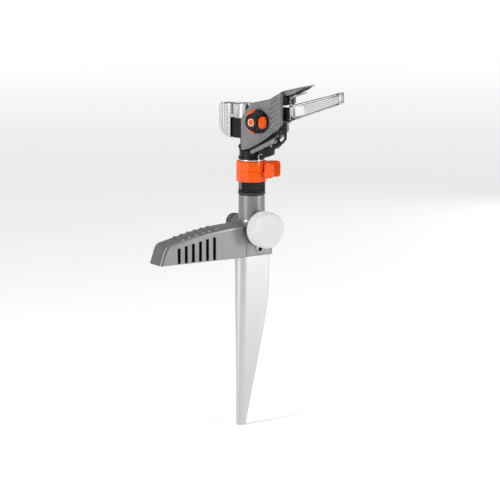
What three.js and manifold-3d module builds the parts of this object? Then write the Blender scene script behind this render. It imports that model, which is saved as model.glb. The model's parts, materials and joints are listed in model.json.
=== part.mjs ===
// Impact sprinkler on a ground spike: millimetres, +Z up.
// The origin is on the riser's axis, at the underside of the base housing, which is soil level.
// The foot pedal points along -X, the hose inlet along +Y and the closed outlet along -Y.
import * as THREE from 'three';
import { mergeVertices } from 'three/addons/utils/BufferGeometryUtils.js';
import Module from 'manifold-3d';

// ---------- driving dimensions ----------

const GAP = 0.3;                    // running and resting clearance between pieces
const FINE = 28;                    // facets round a large turned piece
const COARSE = 14;                  // facets round a small turned piece

const SPIKE_LENGTH = 173;           // below soil level
const SPIKE_TOP = 16.5;             // how far the spike reaches up into its socket
const SPIKE_HALF_WIDTH = 8;         // across the channel, at soil level
const SPIKE_TIP_SCALE = 0.42;       // the tip's width over the top's width
const SPIKE_SPINE_X = -10.4;        // centre of the rounded spine
const SPIKE_WING_X = 16;            // free edge of both wings
const SPIKE_WALL = 2.4;

const BLOCK_REAR_X = -14.9;
const BLOCK_FRONT_X = 18;
const BLOCK_HALF_WIDTH = 13;
const BLOCK_HEIGHT = 33;
const TENON_REAR_X = -20.3;
const TENON_HALF_WIDTH = 11.3;
const TENON_HEIGHT = 30;
const RISER_RADIUS = 13.25;
const RISER_TOP = 61;
const RISER_BORE = 9;
const INLET_Z = 28;                 // height of the hose line through the base
const CROSS_BORE = 8.9;

const PEDAL_TOE_X = -112.4;
const PEDAL_WALL = 2.4;
const PEDAL_HALF_WIDTH = 13.8;
const PEDAL_TOE_SCALE = 0.84;       // the toe's width over the heel's width
const PEDAL_BULKHEAD_X = -23.2;
const SLOT_COUNT = 6;
const SLOT_PITCH = 7.95;
const SLOT_WIDTH = 3;
const SLOT_FIRST_X = -51.3;
const SLOT_FOOT = 0.8;              // the slots stop short of the lower edge
const LINER_HEEL_X = -44;           // the thin black liner behind the slots starts here
const LINER_HALF = 10.8;
const LINER_WALL = 1;
const RIB_PITCH = 7.6;
const RIB_FIRST_X = -46.4;

const NIPPLE_RADIUS = 8.4;
const NIPPLE_BORE = 5;
const INLET_END = 37.5;             // distance of the inlet's mouth from the axis
const OUTLET_END = 30.5;
const ORING_RADIUS = 7.7;
const ORING_SECTION = 1.1;
const ORING_SETBACKS = [3.9, 8.5];  // from the nipple's mouth to each ring

const CAP_RADIUS = 18;
const CAP_OPEN = 17.6;              // distance of the cap's open rim from the axis
const CAP_FACE = 35.2;
const CAP_CROWN = 32.7;

const SCREW_X = 0.6;                // the cross screw that holds the spike
const SCREW_Z = 7.4;
const SCREW_RADIUS = 2;

const BEARING_BORE = 6;
const BEARING_FOOT = 50;            // lower end of the threaded spigot
const BEARING_TUBE = 10.4;
const BEARING_TOP = 94.4;
const HEX_RADIUS = 13.8;
const HEX_TOP = 73.6;

const RING_FLATS = 10;
const RING_RADIUS = 15.4;
const RING_BORE = 10.8;
const RING_SPLIT = 84.4;            // height of the joint between the two sector rings
const RING_FOOT = 74;
const UPPER_TAB_TIP = 28.5;
const TAB_INNER = 15.9;
const TAB_HALF = 3;
const TAB_LOW = 78;
const TAB_HIGH = 93.8;
const LOWER_TAB_TURN = -64;         // degrees about Z
const UPPER_TAB_TURN = -30;
const LOWER_TAB_TIP = 24.5;

const HEAD_TURN = -71;              // degrees about Z: where the nozzle points
const SPINDLE_RADIUS = 5.6;
const SPINDLE_BORE = 3.6;
const SPINDLE_FOOT = 37.5;
const COLLAR_RADIUS = 13.6;
const COLLAR_FOOT = 96.6;
const CORE_HALF = 8.6;              // half the black core's width
const REAR_HALF = 5.2;
const WALL_FRONT_X = 40;            // the near wall ends here beside the slot, so that the arm shows
const WALL_INNER = -4;              // inner face of the wall beside the arm
const COVER_INNER = 9;
const COVER_OUTER = 13;
const MOUTH_LOW = 135.2;            // the slot that the arm swings in
const MOUTH_HIGH = 152.9;
const PIVOT_X = -9;
const PIVOT_RADIUS = 2.2;
const HUB_RADIUS = 7.5;
const JET_X = 47;                   // front of the nozzle housing
const JET_Z = 156.3;
const JET_RISE = 12.5;              // degrees above level
const NOZZLE_RADIUS = 1.9;
const NEEDLE_ROOT = [43, 0, 159.2];
const NEEDLE_NECK = [49, 0, 161];
const NEEDLE_TIP = [68.9, 0, 166.9];
const NEEDLE_RADIUS = 1.7;
const KNOB_X = 19.6;
const KNOB_Z = 136.2;
const KNOB_RADIUS = 12;
const KNOB_FACE = -25;              // the knob's outer face, across the head
const FLAP_X = 44.6;
const FLAP_Z = 165.1;
const FLAP_HALF = 8.2;
const FLAP_POCKET = 162.7;          // top of the housing under the flap's knuckle
const KNUCKLE_RADIUS = 2;
const TRIP_X = 30;
const TRIP_Z = 112.4;
const TRIP_NEAR = -6.9;             // the trip lever's two sides
const TRIP_FAR = -2.4;
const FRAME_NEAR = -8.2;
const FRAME_FAR = -4.6;
const WIRE_X = 20;
const WIRE_Z = 103;
const WIRE_RADIUS = 0.55;
const PEDAL_SCREWS_Y = [-7, 7];
const PEDAL_SCREW_Z = 24;           // two screws pull the tenon into the pedal
const COVER_SCREWS = [[2, 128], [31, 129.4], [6, 112.4]];    // x and z on the far side cover
const COVER_SCREW_RADIUS = 1.3;
const WEIGHT_X = -22.4;             // the counterweight's inner face
const RIVET_Z = 144.6;
const ARM_ROOT_X = 49.4;            // the vane, from its root out to its tip
const ARM_ROOT = [135.8, 152.9];    // lower and upper edge
const ARM_TIP_X = 115.4;
const ARM_TIP = [159.6, 171.2];
const ARM_RIM = 2.2;
const ARM_WEB = 1.8;
const ARM_RIM_DEPTH = 7;
const VANE_START = 96;              // from here the vane curls towards the jet
const VANE_STEP = 4.9;
const INLAY_ANGLES = [0, 120, 240]; // degrees round the knob
const KNOB_WALL = [[KNOB_RADIUS, -13.4], [KNOB_RADIUS, -15.5], [11.2, -19], [9.5, -22.6]];

// ---------- geometry helpers ----------

const wasm = await Module();
wasm.setup();

// A closed geometry as a solid: shared vertices merged, slivers dropped, faces turned outwards.
function solid(geometry) {
  geometry.deleteAttribute('normal');
  geometry.deleteAttribute('uv');
  const merged = mergeVertices(geometry, 1e-4);
  const place = merged.attributes.position;
  const corners = [];
  let volume = 0;
  for (let i = 0; i < merged.index.count; i += 3) {
    const [a, b, c] = [0, 1, 2].map((k) => merged.index.getX(i + k));
    if (a === b || b === c || c === a) continue;
    const [p, q, r] = [a, b, c].map((k) => new THREE.Vector3().fromBufferAttribute(place, k));
    volume += p.dot(q.cross(r));
    corners.push(a, b, c);
  }
  if (volume < 0) corners.reverse();
  const vertProperties = new Float32Array(place.array);
  return new wasm.Manifold(new wasm.Mesh({ numProp: 3, vertProperties,
    triVerts: new Uint32Array(corners) }));
}

function shapeOf(points) {
  return new THREE.Shape(points.map(([x, y]) => new THREE.Vector2(x, y)));
}

// A polygon whose every corner is rounded by the same radius, where its edges are long enough.
function rounded(points, radius) {
  const shape = new THREE.Shape();
  const corners = points.map(([x, y]) => new THREE.Vector2(x, y));
  corners.forEach((corner, i) => {
    const before = corners[(i + corners.length - 1) % corners.length];
    const after = corners[(i + 1) % corners.length];
    const start = corner.clone().lerp(before, Math.min(0.45, radius / corner.distanceTo(before)));
    const end = corner.clone().lerp(after, Math.min(0.45, radius / corner.distanceTo(after)));
    if (i === 0) shape.moveTo(start.x, start.y);
    else shape.lineTo(start.x, start.y);
    shape.quadraticCurveTo(corner.x, corner.y, end.x, end.y);
  });
  shape.closePath();
  return shape;
}

// An XY outline raised from low to high.
function column(shape, low, high, curveSegments = 4) {
  const options = { depth: high - low, bevelEnabled: false, curveSegments };
  const geometry = new THREE.ExtrudeGeometry(shape, options);
  return solid(geometry.translate(0, 0, low));
}

// An XZ outline carried across from one Y to another, by way of an optional change to each vertex.
function slab(shape, low, high, curveSegments = 4, bend = null) {
  const options = { depth: high - low, bevelEnabled: false, curveSegments };
  const geometry = new THREE.ExtrudeGeometry(shape, options);
  geometry.rotateX(Math.PI / 2).translate(0, high, 0);
  if (bend) move(geometry, bend);
  return solid(geometry);
}

function move(geometry, bend) {
  const place = geometry.attributes.position;
  const point = new THREE.Vector3();
  for (let i = 0; i < place.count; i += 1) {
    point.fromBufferAttribute(place, i);
    bend(point);
    place.setXYZ(i, point.x, point.y, point.z);
  }
}

// A [radius, height] profile turned about Z, or about Y.
function turned(profile, segments = FINE, about = 'z') {
  const first = profile[0];
  const last = profile[profile.length - 1];
  const onAxis = first[0] === 0 && last[0] === 0;
  const points = (onAxis ? profile : [...profile, first]).map(([r, h]) => new THREE.Vector2(r, h));
  const geometry = new THREE.LatheGeometry(points, segments);
  if (about === 'z') geometry.rotateX(Math.PI / 2);
  return solid(geometry);
}

function tubeProfile(inner, outer, low, high) {
  return [[inner, low], [outer, low], [outer, high], [inner, high]];
}

// A round bar between two points.
function rod(from, to, radius, segments = COARSE, tipRadius = radius) {
  const start = new THREE.Vector3(...from);
  const line = new THREE.Vector3(...to).sub(start);
  const geometry = new THREE.CylinderGeometry(tipRadius, radius, line.length(), segments);
  const turn = new THREE.Quaternion().setFromUnitVectors(new THREE.Vector3(0, 1, 0),
    line.clone().normalize());
  geometry.applyQuaternion(turn).translate(...start.addScaledVector(line, 0.5));
  return solid(geometry);
}

function box([x0, x1], [y0, y1], [z0, z1]) {
  const geometry = new THREE.BoxGeometry(x1 - x0, y1 - y0, z1 - z0);
  return solid(geometry.translate((x0 + x1) / 2, (y0 + y1) / 2, (z0 + z1) / 2));
}

function wire(curve, radius, sides, steps) {
  const section = new THREE.Shape();
  section.absarc(0, 0, radius, 0, 2 * Math.PI);
  const options = { extrudePath: curve, steps, bevelEnabled: false, curveSegments: sides };
  return solid(new THREE.ExtrudeGeometry(section, options));
}

class Helix extends THREE.Curve {
  constructor(centre, radius, low, high, turns) {
    super();
    Object.assign(this, { centre, radius, low, high, turns });
  }

  getPoint(t) {
    const angle = 2 * Math.PI * this.turns * t;
    const x = this.centre + this.radius * Math.cos(angle);
    const y = this.radius * Math.sin(angle);
    return new THREE.Vector3(x, y, this.low + (this.high - this.low) * t);
  }
}

const FINISHES = {
  housing: [0x8d8f90, 0.5, 0.1],
  cap: [0xd9dcdb, 0.6, 0],
  spike: [0xcfd1d3, 0.35, 0.9],
  black: [0x1d1f20, 0.5, 0],
  cover: [0x75797c, 0.5, 0.2],
  orange: [0xee5a19, 0.35, 0],
  chrome: [0xdadcde, 0.15, 1],
  steel: [0xb4b6b8, 0.35, 0.9],
  rubber: [0x161616, 0.8, 0],
  face: [0x5c6063, 0.5, 0.1],
  strainer: [0xe6e6e2, 0.7, 0],
};

// Adds one named piece to a group.
function piece(group, name, body, finish) {
  const { vertProperties, triVerts } = body.getMesh();
  const geometry = new THREE.BufferGeometry();
  geometry.setAttribute('position', new THREE.BufferAttribute(vertProperties, 3));
  geometry.setIndex(new THREE.BufferAttribute(triVerts, 1));
  geometry.computeVertexNormals();
  const [color, roughness, metalness] = FINISHES[finish];
  const mesh = new THREE.Mesh(geometry, new THREE.MeshStandardMaterial({ color, roughness, metalness }));
  mesh.name = name;
  group.add(mesh);
}

// ---------- spike ----------

// The channel's section: a rounded spine towards -X and two wings towards +X.
function channelSection(halfWidth, wall, clearance) {
  const outer = halfWidth + clearance;
  const inner = halfWidth - wall - clearance;
  const shape = new THREE.Shape();
  shape.moveTo(SPIKE_WING_X + clearance, -outer);
  shape.lineTo(SPIKE_WING_X + clearance, -inner);
  shape.lineTo(SPIKE_SPINE_X, -inner);
  shape.absarc(SPIKE_SPINE_X, 0, inner, -Math.PI / 2, -Math.PI * 1.5, true);
  shape.lineTo(SPIKE_WING_X + clearance, inner);
  shape.lineTo(SPIKE_WING_X + clearance, outer);
  shape.lineTo(SPIKE_SPINE_X, outer);
  shape.absarc(SPIKE_SPINE_X, 0, outer, Math.PI / 2, Math.PI * 1.5, false);
  return shape;
}

function spikeBody() {
  const section = channelSection(SPIKE_HALF_WIDTH, SPIKE_WALL, 0);
  const depth = SPIKE_LENGTH + SPIKE_TOP;
  const options = { depth, steps: 7, bevelEnabled: false, curveSegments: 4 };
  const geometry = new THREE.ExtrudeGeometry(section, options).translate(0, 0, -SPIKE_LENGTH);
  move(geometry, (point) => {
    const down = Math.max(0, -point.z / SPIKE_LENGTH);
    point.y *= 1 - (1 - SPIKE_TIP_SCALE) * down ** 1.2;
  });
  const profile = new THREE.Shape();
  profile.moveTo(-30, SPIKE_TOP + 1);
  profile.lineTo(SPIKE_WING_X + 2, SPIKE_TOP + 1);
  profile.lineTo(SPIKE_WING_X + 2, -14);
  profile.bezierCurveTo(SPIKE_WING_X, -60, 4, -105, -9.2, -SPIKE_LENGTH - 1);
  profile.lineTo(-30, -SPIKE_LENGTH - 1);
  const channel = solid(geometry).intersect(slab(profile, -20, 20, 8));
  return channel.subtract(rod([SCREW_X, -20, SCREW_Z], [SCREW_X, 20, SCREW_Z], SCREW_RADIUS + GAP));
}

// ---------- base ----------

function baseHousing() {
  const outline = rounded([
    [BLOCK_REAR_X, -BLOCK_HALF_WIDTH], [BLOCK_FRONT_X, -BLOCK_HALF_WIDTH],
    [BLOCK_FRONT_X, BLOCK_HALF_WIDTH], [BLOCK_REAR_X, BLOCK_HALF_WIDTH],
  ], 4.5);
  const tenonSpan = [-TENON_HALF_WIDTH, TENON_HALF_WIDTH];
  const riser = turned([
    [0, 20], [RISER_RADIUS, 20], [RISER_RADIUS + 0.9, BLOCK_HEIGHT - 2],
      [RISER_RADIUS + 0.9, BLOCK_HEIGHT + 2],
    [RISER_RADIUS, BLOCK_HEIGHT + 3], [RISER_RADIUS - 0.15, RISER_TOP - 0.5],
      [RISER_RADIUS - 0.6, RISER_TOP],
    [0, RISER_TOP],
  ]);
  const screwSpan = [[SCREW_X, -20, SCREW_Z], [SCREW_X, 20, SCREW_Z]];
  let housing = column(outline, 0, BLOCK_HEIGHT)
    .add(box([TENON_REAR_X, 0], tenonSpan, [0, TENON_HEIGHT]))
    .add(riser)
    .subtract(rod([0, 0, 20.5], [0, 0, RISER_TOP + 1], RISER_BORE, FINE))
    .subtract(rod([0, -20, INLET_Z], [0, 20, INLET_Z], CROSS_BORE, FINE))
    .subtract(column(channelSection(SPIKE_HALF_WIDTH, SPIKE_WALL, GAP), -1, SPIKE_TOP + GAP, 4))
    .subtract(rod(...screwSpan, SCREW_RADIUS + GAP));
  for (const y of PEDAL_SCREWS_Y) {
    housing = housing.subtract(rod([TENON_REAR_X - 1, y, PEDAL_SCREW_Z], [-13.5, y, PEDAL_SCREW_Z],
      1.5 + GAP, 12));
  }
  return housing;
}

// ---------- foot pedal ----------

const PEDAL_BACK = [
  new THREE.Vector2(BLOCK_REAR_X, 31.8), new THREE.Vector2(-50, 31.8),
  new THREE.Vector2(-70, 26.2), new THREE.Vector2(-100.6, 19.9),
];

// The pedal's side view: a back that falls towards the toe, drawn a wall's thickness in for the hollow.
function pedalOutline(heel, inset, foot) {
  const shape = new THREE.Shape();
  shape.moveTo(heel, foot);
  shape.lineTo(heel, PEDAL_BACK[0].y - inset);
  const [, rise, fall, brow] = PEDAL_BACK.map(({ x, y }) => [x, y - inset]);
  shape.bezierCurveTo(...rise, ...fall, brow[0] + inset * 0.7, brow[1]);
  shape.quadraticCurveTo(-104.6 + inset, 18.8 - inset, -106.6 + inset, 14.2);
  shape.lineTo(PEDAL_TOE_X + inset, foot);
  return shape;
}

function pedalBack(x) {
  const curve = new THREE.CubicBezierCurve(...PEDAL_BACK);
  const closer = (best, p) => (Math.abs(p.x - x) < Math.abs(best.x - x) ? p : best);
  const nearest = curve.getPoints(60).reduce(closer);
  return nearest.y;
}

function pedalTaper(point) {
  const along = (point.x - BLOCK_REAR_X) / (PEDAL_TOE_X - BLOCK_REAR_X);
  point.y *= 1 - (1 - PEDAL_TOE_SCALE) * Math.max(0, along);
}

function footPedal() {
  const heel = BLOCK_REAR_X - GAP;
  const half = PEDAL_HALF_WIDTH;
  const inside = half - PEDAL_WALL;
  const socketSpan = [-TENON_HALF_WIDTH - GAP, TENON_HALF_WIDTH + GAP];
  let pedal = slab(pedalOutline(heel, 0, 0), -half, half, 8, pedalTaper)
    .subtract(slab(pedalOutline(PEDAL_BULKHEAD_X, PEDAL_WALL, -1), -inside, inside, 6, pedalTaper))
    .subtract(box([TENON_REAR_X - GAP, heel + 1], socketSpan, [-1, TENON_HEIGHT + GAP]));
  for (let i = 0; i < SLOT_COUNT; i += 1) {
    const x = SLOT_FIRST_X - i * SLOT_PITCH;
    const top = pedalBack(x) - 6;
    pedal = pedal.subtract(box([x - SLOT_WIDTH / 2, x + SLOT_WIDTH / 2], [-20, 20],
      [SLOT_FOOT, top]));
    const ribX = RIB_FIRST_X - i * RIB_PITCH;
    const ribZ = pedalBack(ribX) - 0.5;
    pedal = pedal.add(rod([ribX, -9, ribZ], [ribX, 9, ribZ], 1.7, 10));
  }
  for (const y of PEDAL_SCREWS_Y) {
    pedal = pedal.subtract(rod([-28, y, PEDAL_SCREW_Z], [-15, y, PEDAL_SCREW_Z], 1.5 + GAP, 12));
  }
  return pedal;
}

// ---------- hose line ----------

function nipple(end) {
  const groove = 1.4;
  const profile = [
    [NIPPLE_BORE, 9.5], [CROSS_BORE - GAP, 9.5], [CROSS_BORE - GAP, BLOCK_HALF_WIDTH + GAP],
    [10.4, BLOCK_HALF_WIDTH + GAP], [10.4, 15.3], [NIPPLE_RADIUS, 15.3],
  ];
  for (const setback of [...ORING_SETBACKS].reverse()) {
    const y = end - setback;
    profile.push([NIPPLE_RADIUS, y - groove], [6.3, y - groove], [6.3, y + groove],
      [NIPPLE_RADIUS, y + groove]);
  }
  profile.push([NIPPLE_RADIUS, end - 1.4], [7.4, end], [NIPPLE_BORE, end]);
  return turned(profile, 20, 'y');
}

function oring(y) {
  const profile = [];
  for (let i = 0; i < 6; i += 1) {
    const angle = (2 * Math.PI * i) / 6;
    profile.push([ORING_RADIUS + ORING_SECTION * Math.cos(angle), y + ORING_SECTION * Math.sin(angle)]);
  }
  return turned(profile, 16, 'y');
}

function endCap() {
  return turned([
    [0, -CAP_CROWN], [9.2, -CAP_CROWN], [9.2, -CAP_OPEN], [11.4, -CAP_OPEN], [11.4, -CAP_CROWN],
    [15.4, -CAP_CROWN], [15.4, -CAP_OPEN], [CAP_RADIUS - 0.6, -CAP_OPEN], [CAP_RADIUS, -CAP_OPEN - 0.8],
    [CAP_RADIUS, -CAP_FACE + 4.2], [CAP_RADIUS - 0.9, -CAP_FACE + 1.8], [CAP_RADIUS - 2.4, -CAP_FACE + 0.5],
    [CAP_RADIUS - 4.2, -CAP_FACE], [0, -CAP_FACE],
  ], FINE, 'y');
}

// ---------- bearing and sector rings ----------

function bearingNipple() {
  const hexagon = [];
  for (let i = 0; i < 6; i += 1) {
    const angle = THREE.MathUtils.degToRad(-109 + 60 * i);
    hexagon.push([HEX_RADIUS * Math.cos(angle), HEX_RADIUS * Math.sin(angle)]);
  }
  return turned(tubeProfile(0, RISER_BORE - GAP, BEARING_FOOT, 64), 24)
    .add(turned([[0, 63.8], [13.5, 63.8], [13.5, 65.5], [0, 65.5]]))
    .add(column(rounded(hexagon, 0.8), 65, HEX_TOP, 2))
    .add(rod([0, 0, 65], [0, 0, BEARING_TOP], BEARING_TUBE, FINE))
    .subtract(rod([0, 0, BEARING_FOOT - 1], [0, 0, BEARING_TOP + 1], BEARING_BORE, 20));
}

// One sector ring: a ten-sided collar with a finger tab that stands clear of the other ring.
function sectorRing(low, high, tabTurn, tabTip) {
  const flats = [];
  for (let i = 0; i < RING_FLATS; i += 1) {
    const angle = THREE.MathUtils.degToRad(-98 + (360 / RING_FLATS) * i);
    flats.push([RING_RADIUS * Math.cos(angle), RING_RADIUS * Math.sin(angle)]);
  }
  const tabOutline = rounded([[12, -TAB_HALF], [tabTip, -TAB_HALF], [tabTip, TAB_HALF], [12, TAB_HALF]],
    1.6);
  const rise = rounded([[TAB_INNER, TAB_LOW], [tabTip, TAB_LOW], [tabTip, TAB_HIGH],
    [TAB_INNER, TAB_HIGH]], 3.6);
  const root = box([12, TAB_INNER + 2], [-TAB_HALF, TAB_HALF],
    [Math.max(low, TAB_LOW), Math.min(high, TAB_HIGH)]);
  const tab = slab(rise, -TAB_HALF, TAB_HALF)
    .intersect(column(tabOutline, TAB_LOW - 1, TAB_HIGH + 1))
    .add(root)
    .rotate([0, 0, tabTurn]);
  return column(rounded(flats, 0.9), low, high, 2)
    .add(tab)
    .subtract(rod([0, 0, low - 1], [0, 0, high + 1], RING_BORE, 24));
}

// ---------- head: X points along the nozzle, the knob is on -Y ----------

// The near cover's side view, from the lower rear corner round to the chin.
const COVER_OUTLINE = [
  [-3.6, 105.4], [-3.8, 137.8], [9.4, 153.6], [32, 158.8], [47, 166.9], [46.5, 134],
];

function coverShape() {
  const shape = shapeOf(COVER_OUTLINE);
  shape.quadraticCurveTo(26, 115.8, 5.7, 107.5);
  return shape;
}

function nearCover() {
  const panel = rounded([[33.4, 126], [33.2, 158.2], [46, 165.2], [45.6, 135]], 1.2);
  let cover = slab(coverShape(), -COVER_OUTER, -COVER_INNER, 8)
    .add(slab(panel, -COVER_OUTER - 0.8, -COVER_OUTER + 0.5, 2));
  for (let i = 0; i < 7; i += 1) {
    const z = 129.5 + i * 4.9;
    const groove = rod([34.4, -COVER_OUTER - 1, z], [44.8, -COVER_OUTER - 1, z + 7], 0.75, 8);
    cover = cover.subtract(groove);
  }
  return cover
    .subtract(rod([KNOB_X, -20, KNOB_Z], [KNOB_X, 0, KNOB_Z], 4.4))
    .subtract(rod([FLAP_X, -COVER_OUTER + 1.5, FLAP_Z], [FLAP_X, 0, FLAP_Z], 1 + GAP, 12));
}

function farCover() {
  const top = MOUTH_LOW - 0.4;
  const shape = shapeOf([[-3.6, 105.4], [-3.8, top - 2], [-1.5, top], [37, top], [37, 125.4]]);
  shape.quadraticCurveTo(24, 115, 5.7, 107.5);
  return slab(shape, COVER_INNER, COVER_OUTER, 8);
}

function farTopCover() {
  return slab(shapeOf([[11.5, 153.4], [13, 154.4], [32, 158.8], [46.4, 166.6], [46.4, 153.4]]),
    COVER_INNER, 12)
    .subtract(rod([FLAP_X, 0, FLAP_Z], [FLAP_X, 10.6, FLAP_Z], 1 + GAP, 12));
}

// A point along the jet's axis, from the front of the nozzle housing.
function alongJet(distance, lift = 0) {
  const rise = THREE.MathUtils.degToRad(JET_RISE);
  const x = JET_X + distance * Math.cos(rise) - lift * Math.sin(rise);
  return [x, 0, JET_Z + distance * Math.sin(rise) + lift * Math.cos(rise)];
}

// The channels that carry water from the spindle, up the wall beside the arm, to the nozzle.
function waterway() {
  let way = rod([0, 0, 100], [0, 0, 132], SPINDLE_BORE, 16)
    .add(rod([0, -1.5, 129.5], [37.5, -4.6, 129.5], 2.6, 12))
    .add(box([26, 38], [-8, 0], [155, 158]))
    .add(rod([30, 0, JET_Z], [44, 0, JET_Z - 0.6], 1.5, 12));
  for (const x of [28, 32, 36]) {
    way = way.add(rod([x, -6.2, 129], [x, -6.2, 157], 1.6, 12));
  }
  return way;
}

function headBody() {
  const collar = turned([
    [0, COLLAR_FOOT], [COLLAR_RADIUS, COLLAR_FOOT], [COLLAR_RADIUS, COLLAR_FOOT + 2],
    [COLLAR_RADIUS - 1.2, COLLAR_FOOT + 2.8], [COLLAR_RADIUS - 1.2, 106.4], [COLLAR_RADIUS - 0.3, 107.2],
    [COLLAR_RADIUS - 0.3, 109.6], [COLLAR_RADIUS - 1.4, 110.6], [0, 110.6],
  ]);
  const lower = shapeOf([[-8, 104], [-8, MOUTH_LOW], [37, MOUTH_LOW], [37, 122.6]]);
  lower.quadraticCurveTo(25, 112.6, 8, 104.6);
  const rear = rounded([[-20.8, 116], [-20.8, MOUTH_LOW], [-6, MOUTH_LOW], [-6, 116]], 0.8);
  const wall = shapeOf([[5, 134], [12, 153.4], [32, 158], [46, 165], [46, 135.2], [38, 135.2], [38, 134]]);
  const upper = shapeOf([
    [11, MOUTH_HIGH], [13, 154.2], [32, 158.4], [40.4, FLAP_POCKET], [JET_X, FLAP_POCKET],
      [JET_X, MOUTH_HIGH],
  ]);
  const lug = rounded([[25.6, 118], [26.4, 108.6], [33.6, 108.6], [35, 122]], 2.4);
  const besideCovers = [COLLAR_FOOT + 8.3, 112];
  let body = collar
    .subtract(box([-20, 20], [-20, -COVER_INNER + GAP], besideCovers))
    .subtract(box([-20, 20], [COVER_INNER - GAP, 20], besideCovers))
    .add(slab(lower, -CORE_HALF, CORE_HALF, 8))
    .add(slab(rear, -REAR_HALF, REAR_HALF, 2))
    .add(slab(wall, -CORE_HALF, WALL_INNER).subtract(box([40, 50], [-20, WALL_INNER + 1],
      [FLAP_POCKET, 170])).subtract(box([WALL_FRONT_X, 50], [-20, WALL_INNER + 1],
      [MOUTH_LOW - 0.1, MOUTH_HIGH])))
    .add(slab(upper, -CORE_HALF, CORE_HALF))
    .add(slab(lug, TRIP_FAR + 0.4, -TRIP_FAR - 0.4))
    .subtract(rod([0, 0, COLLAR_FOOT - 1], [0, 0, 101], SPINDLE_RADIUS + GAP, 24))
    .subtract(waterway())
    .subtract(rod(alongJet(-4), alongJet(3), NOZZLE_RADIUS + GAP, 16))
    .subtract(rod(NEEDLE_ROOT, NEEDLE_NECK, NEEDLE_RADIUS + GAP, 14))
    .subtract(rod([PIVOT_X, 0, 124], [PIVOT_X, 0, MOUTH_LOW + 1], PIVOT_RADIUS + GAP, 16))
    .subtract(rod([KNOB_X, -20, KNOB_Z], [KNOB_X, -5.2, KNOB_Z], 4.2))
    .subtract(rod([TRIP_X, -20, TRIP_Z], [TRIP_X, 20, TRIP_Z], 1.5 + GAP, 12));
  for (const [x, z] of COVER_SCREWS) {
    body = body.subtract(rod([x, 4.4, z], [x, 10, z], COVER_SCREW_RADIUS + GAP, 10));
  }
  return body;
}

// ---------- hammer arm ----------

// The arm's front, as a side view: a channel that rises and narrows towards its tip.

function armEdge(x, which, inset = 0) {
  const along = (x - ARM_ROOT_X) / (ARM_TIP_X - ARM_ROOT_X);
  return ARM_ROOT[which] + (ARM_TIP[which] - ARM_ROOT[which]) * along + inset;
}

// Beyond VANE_START the channel curls towards -Y, so that the jet pushes it aside.
function vaneCurl(x) {
  const past = Math.max(0, x - VANE_START);
  return -0.016 * past * past;
}

// One length of the arm between two stations, as the hull of its eight corners.
function armStrip(lowInset, highInset, from, to, yLow, yHigh) {
  const stations = [from];
  for (let x = VANE_START; x < to; x += VANE_STEP) {
    stations.push(x);
  }
  stations.push(to);
  const lengths = stations.slice(1).map((end, i) => {
    const corners = [];
    for (const x of [stations[i], end]) {
      for (const y of [yLow, yHigh]) {
        corners.push([x, y + vaneCurl(x), armEdge(x, 0, lowInset)],
          [x, y + vaneCurl(x), armEdge(x, 1, highInset)]);
      }
    }
    return wasm.Manifold.hull(corners);
  });
  return wasm.Manifold.union(lengths);
}

function armBody() {
  const front = armStrip(0, 0, ARM_ROOT_X, ARM_TIP_X, -ARM_RIM_DEPTH / 2, ARM_RIM_DEPTH / 2);
  const hollow = armStrip(ARM_RIM, -ARM_RIM, ARM_ROOT_X + 1.5, ARM_TIP_X + 2, -ARM_RIM_DEPTH,
    ARM_RIM_DEPTH / 2 - ARM_WEB);
  const opening = rounded([[52, 141.4], [51, 151], [62.6, 153.9], [65.4, 146]], 0.8);
  const bar = [PIVOT_X, ARM_ROOT_X + 0.5];
  const hub = turned(tubeProfile(PIVOT_RADIUS + GAP, HUB_RADIUS, 136.4, 151), FINE)
    .subtract(turned(tubeProfile(PIVOT_RADIUS, 5.8, 136, 144.5), 20))
    .translate([PIVOT_X, 0, 0]);
  return front
    .subtract(hollow)
    .subtract(slab(opening, -10, 10, 2))
    .add(box(bar, [-2.4, 2.4], [136.8, 150.6])
      .subtract(rod([PIVOT_X, 0, 130], [PIVOT_X, 0, 160], HUB_RADIUS - 1, 20)))
    .add(box([WEIGHT_X + GAP, PIVOT_X - HUB_RADIUS + 0.6], [-3.4, 3.4], [139, 150])
      .subtract(rod([WEIGHT_X, 0, RIVET_Z], [-17.3, 0, RIVET_Z], 1.6, 12)))
    .add(hub);
}

function counterweight() {
  const outline = new THREE.Shape();
  outline.moveTo(WEIGHT_X, 150);
  outline.lineTo(-34.6, 150);
  outline.quadraticCurveTo(-36.8, 149.6, -37, 146);
  outline.lineTo(-37, 129.6);
  outline.quadraticCurveTo(-35.6, 119.4, -26, 116.2);
  outline.lineTo(WEIGHT_X, 115.8);
  let weight = slab(outline, -6.5, 6.5, 6);
  for (let i = 0; i < 4; i += 1) {
    const x = -34.8 + i * 3.2;
    for (const side of [-1, 1]) {
      weight = weight.subtract(rod([x, side * 6.9, 110], [x, side * 6.9, 160], 0.9, 8));
    }
  }
  return weight.subtract(rod([-50, 0, RIVET_Z], [-20, 0, RIVET_Z], 1.6, 12));
}

// ---------- knob ----------

function inlayBox(grow) {
  return box([6.8 - grow, KNOB_RADIUS + 2], [-24.2 - grow, -15.8 + grow], [-6.2 - grow, 6.2 + grow]);
}

// The knob's side wall leans in towards its face.

function knobBody() {
  let body = turned([[0, KNOB_WALL[0][1]], ...KNOB_WALL, [7.9, KNOB_FACE], [0, KNOB_FACE]], FINE, 'y')
    .subtract(slab(threeLobes(6.6), KNOB_FACE - 1, KNOB_FACE + 0.7))
    .subtract(rod([0, KNOB_FACE + 1.8, 0], [0, -30, 0], 4, 20));
  for (const angle of INLAY_ANGLES) {
    body = body.subtract(inlayBox(0).rotate([0, angle, 0]));
  }
  return body.translate([KNOB_X, 0, KNOB_Z]).subtract(rod([KNOB_X, -20.6, KNOB_Z],
    [KNOB_X, -10, KNOB_Z], 3.1));
}

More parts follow.
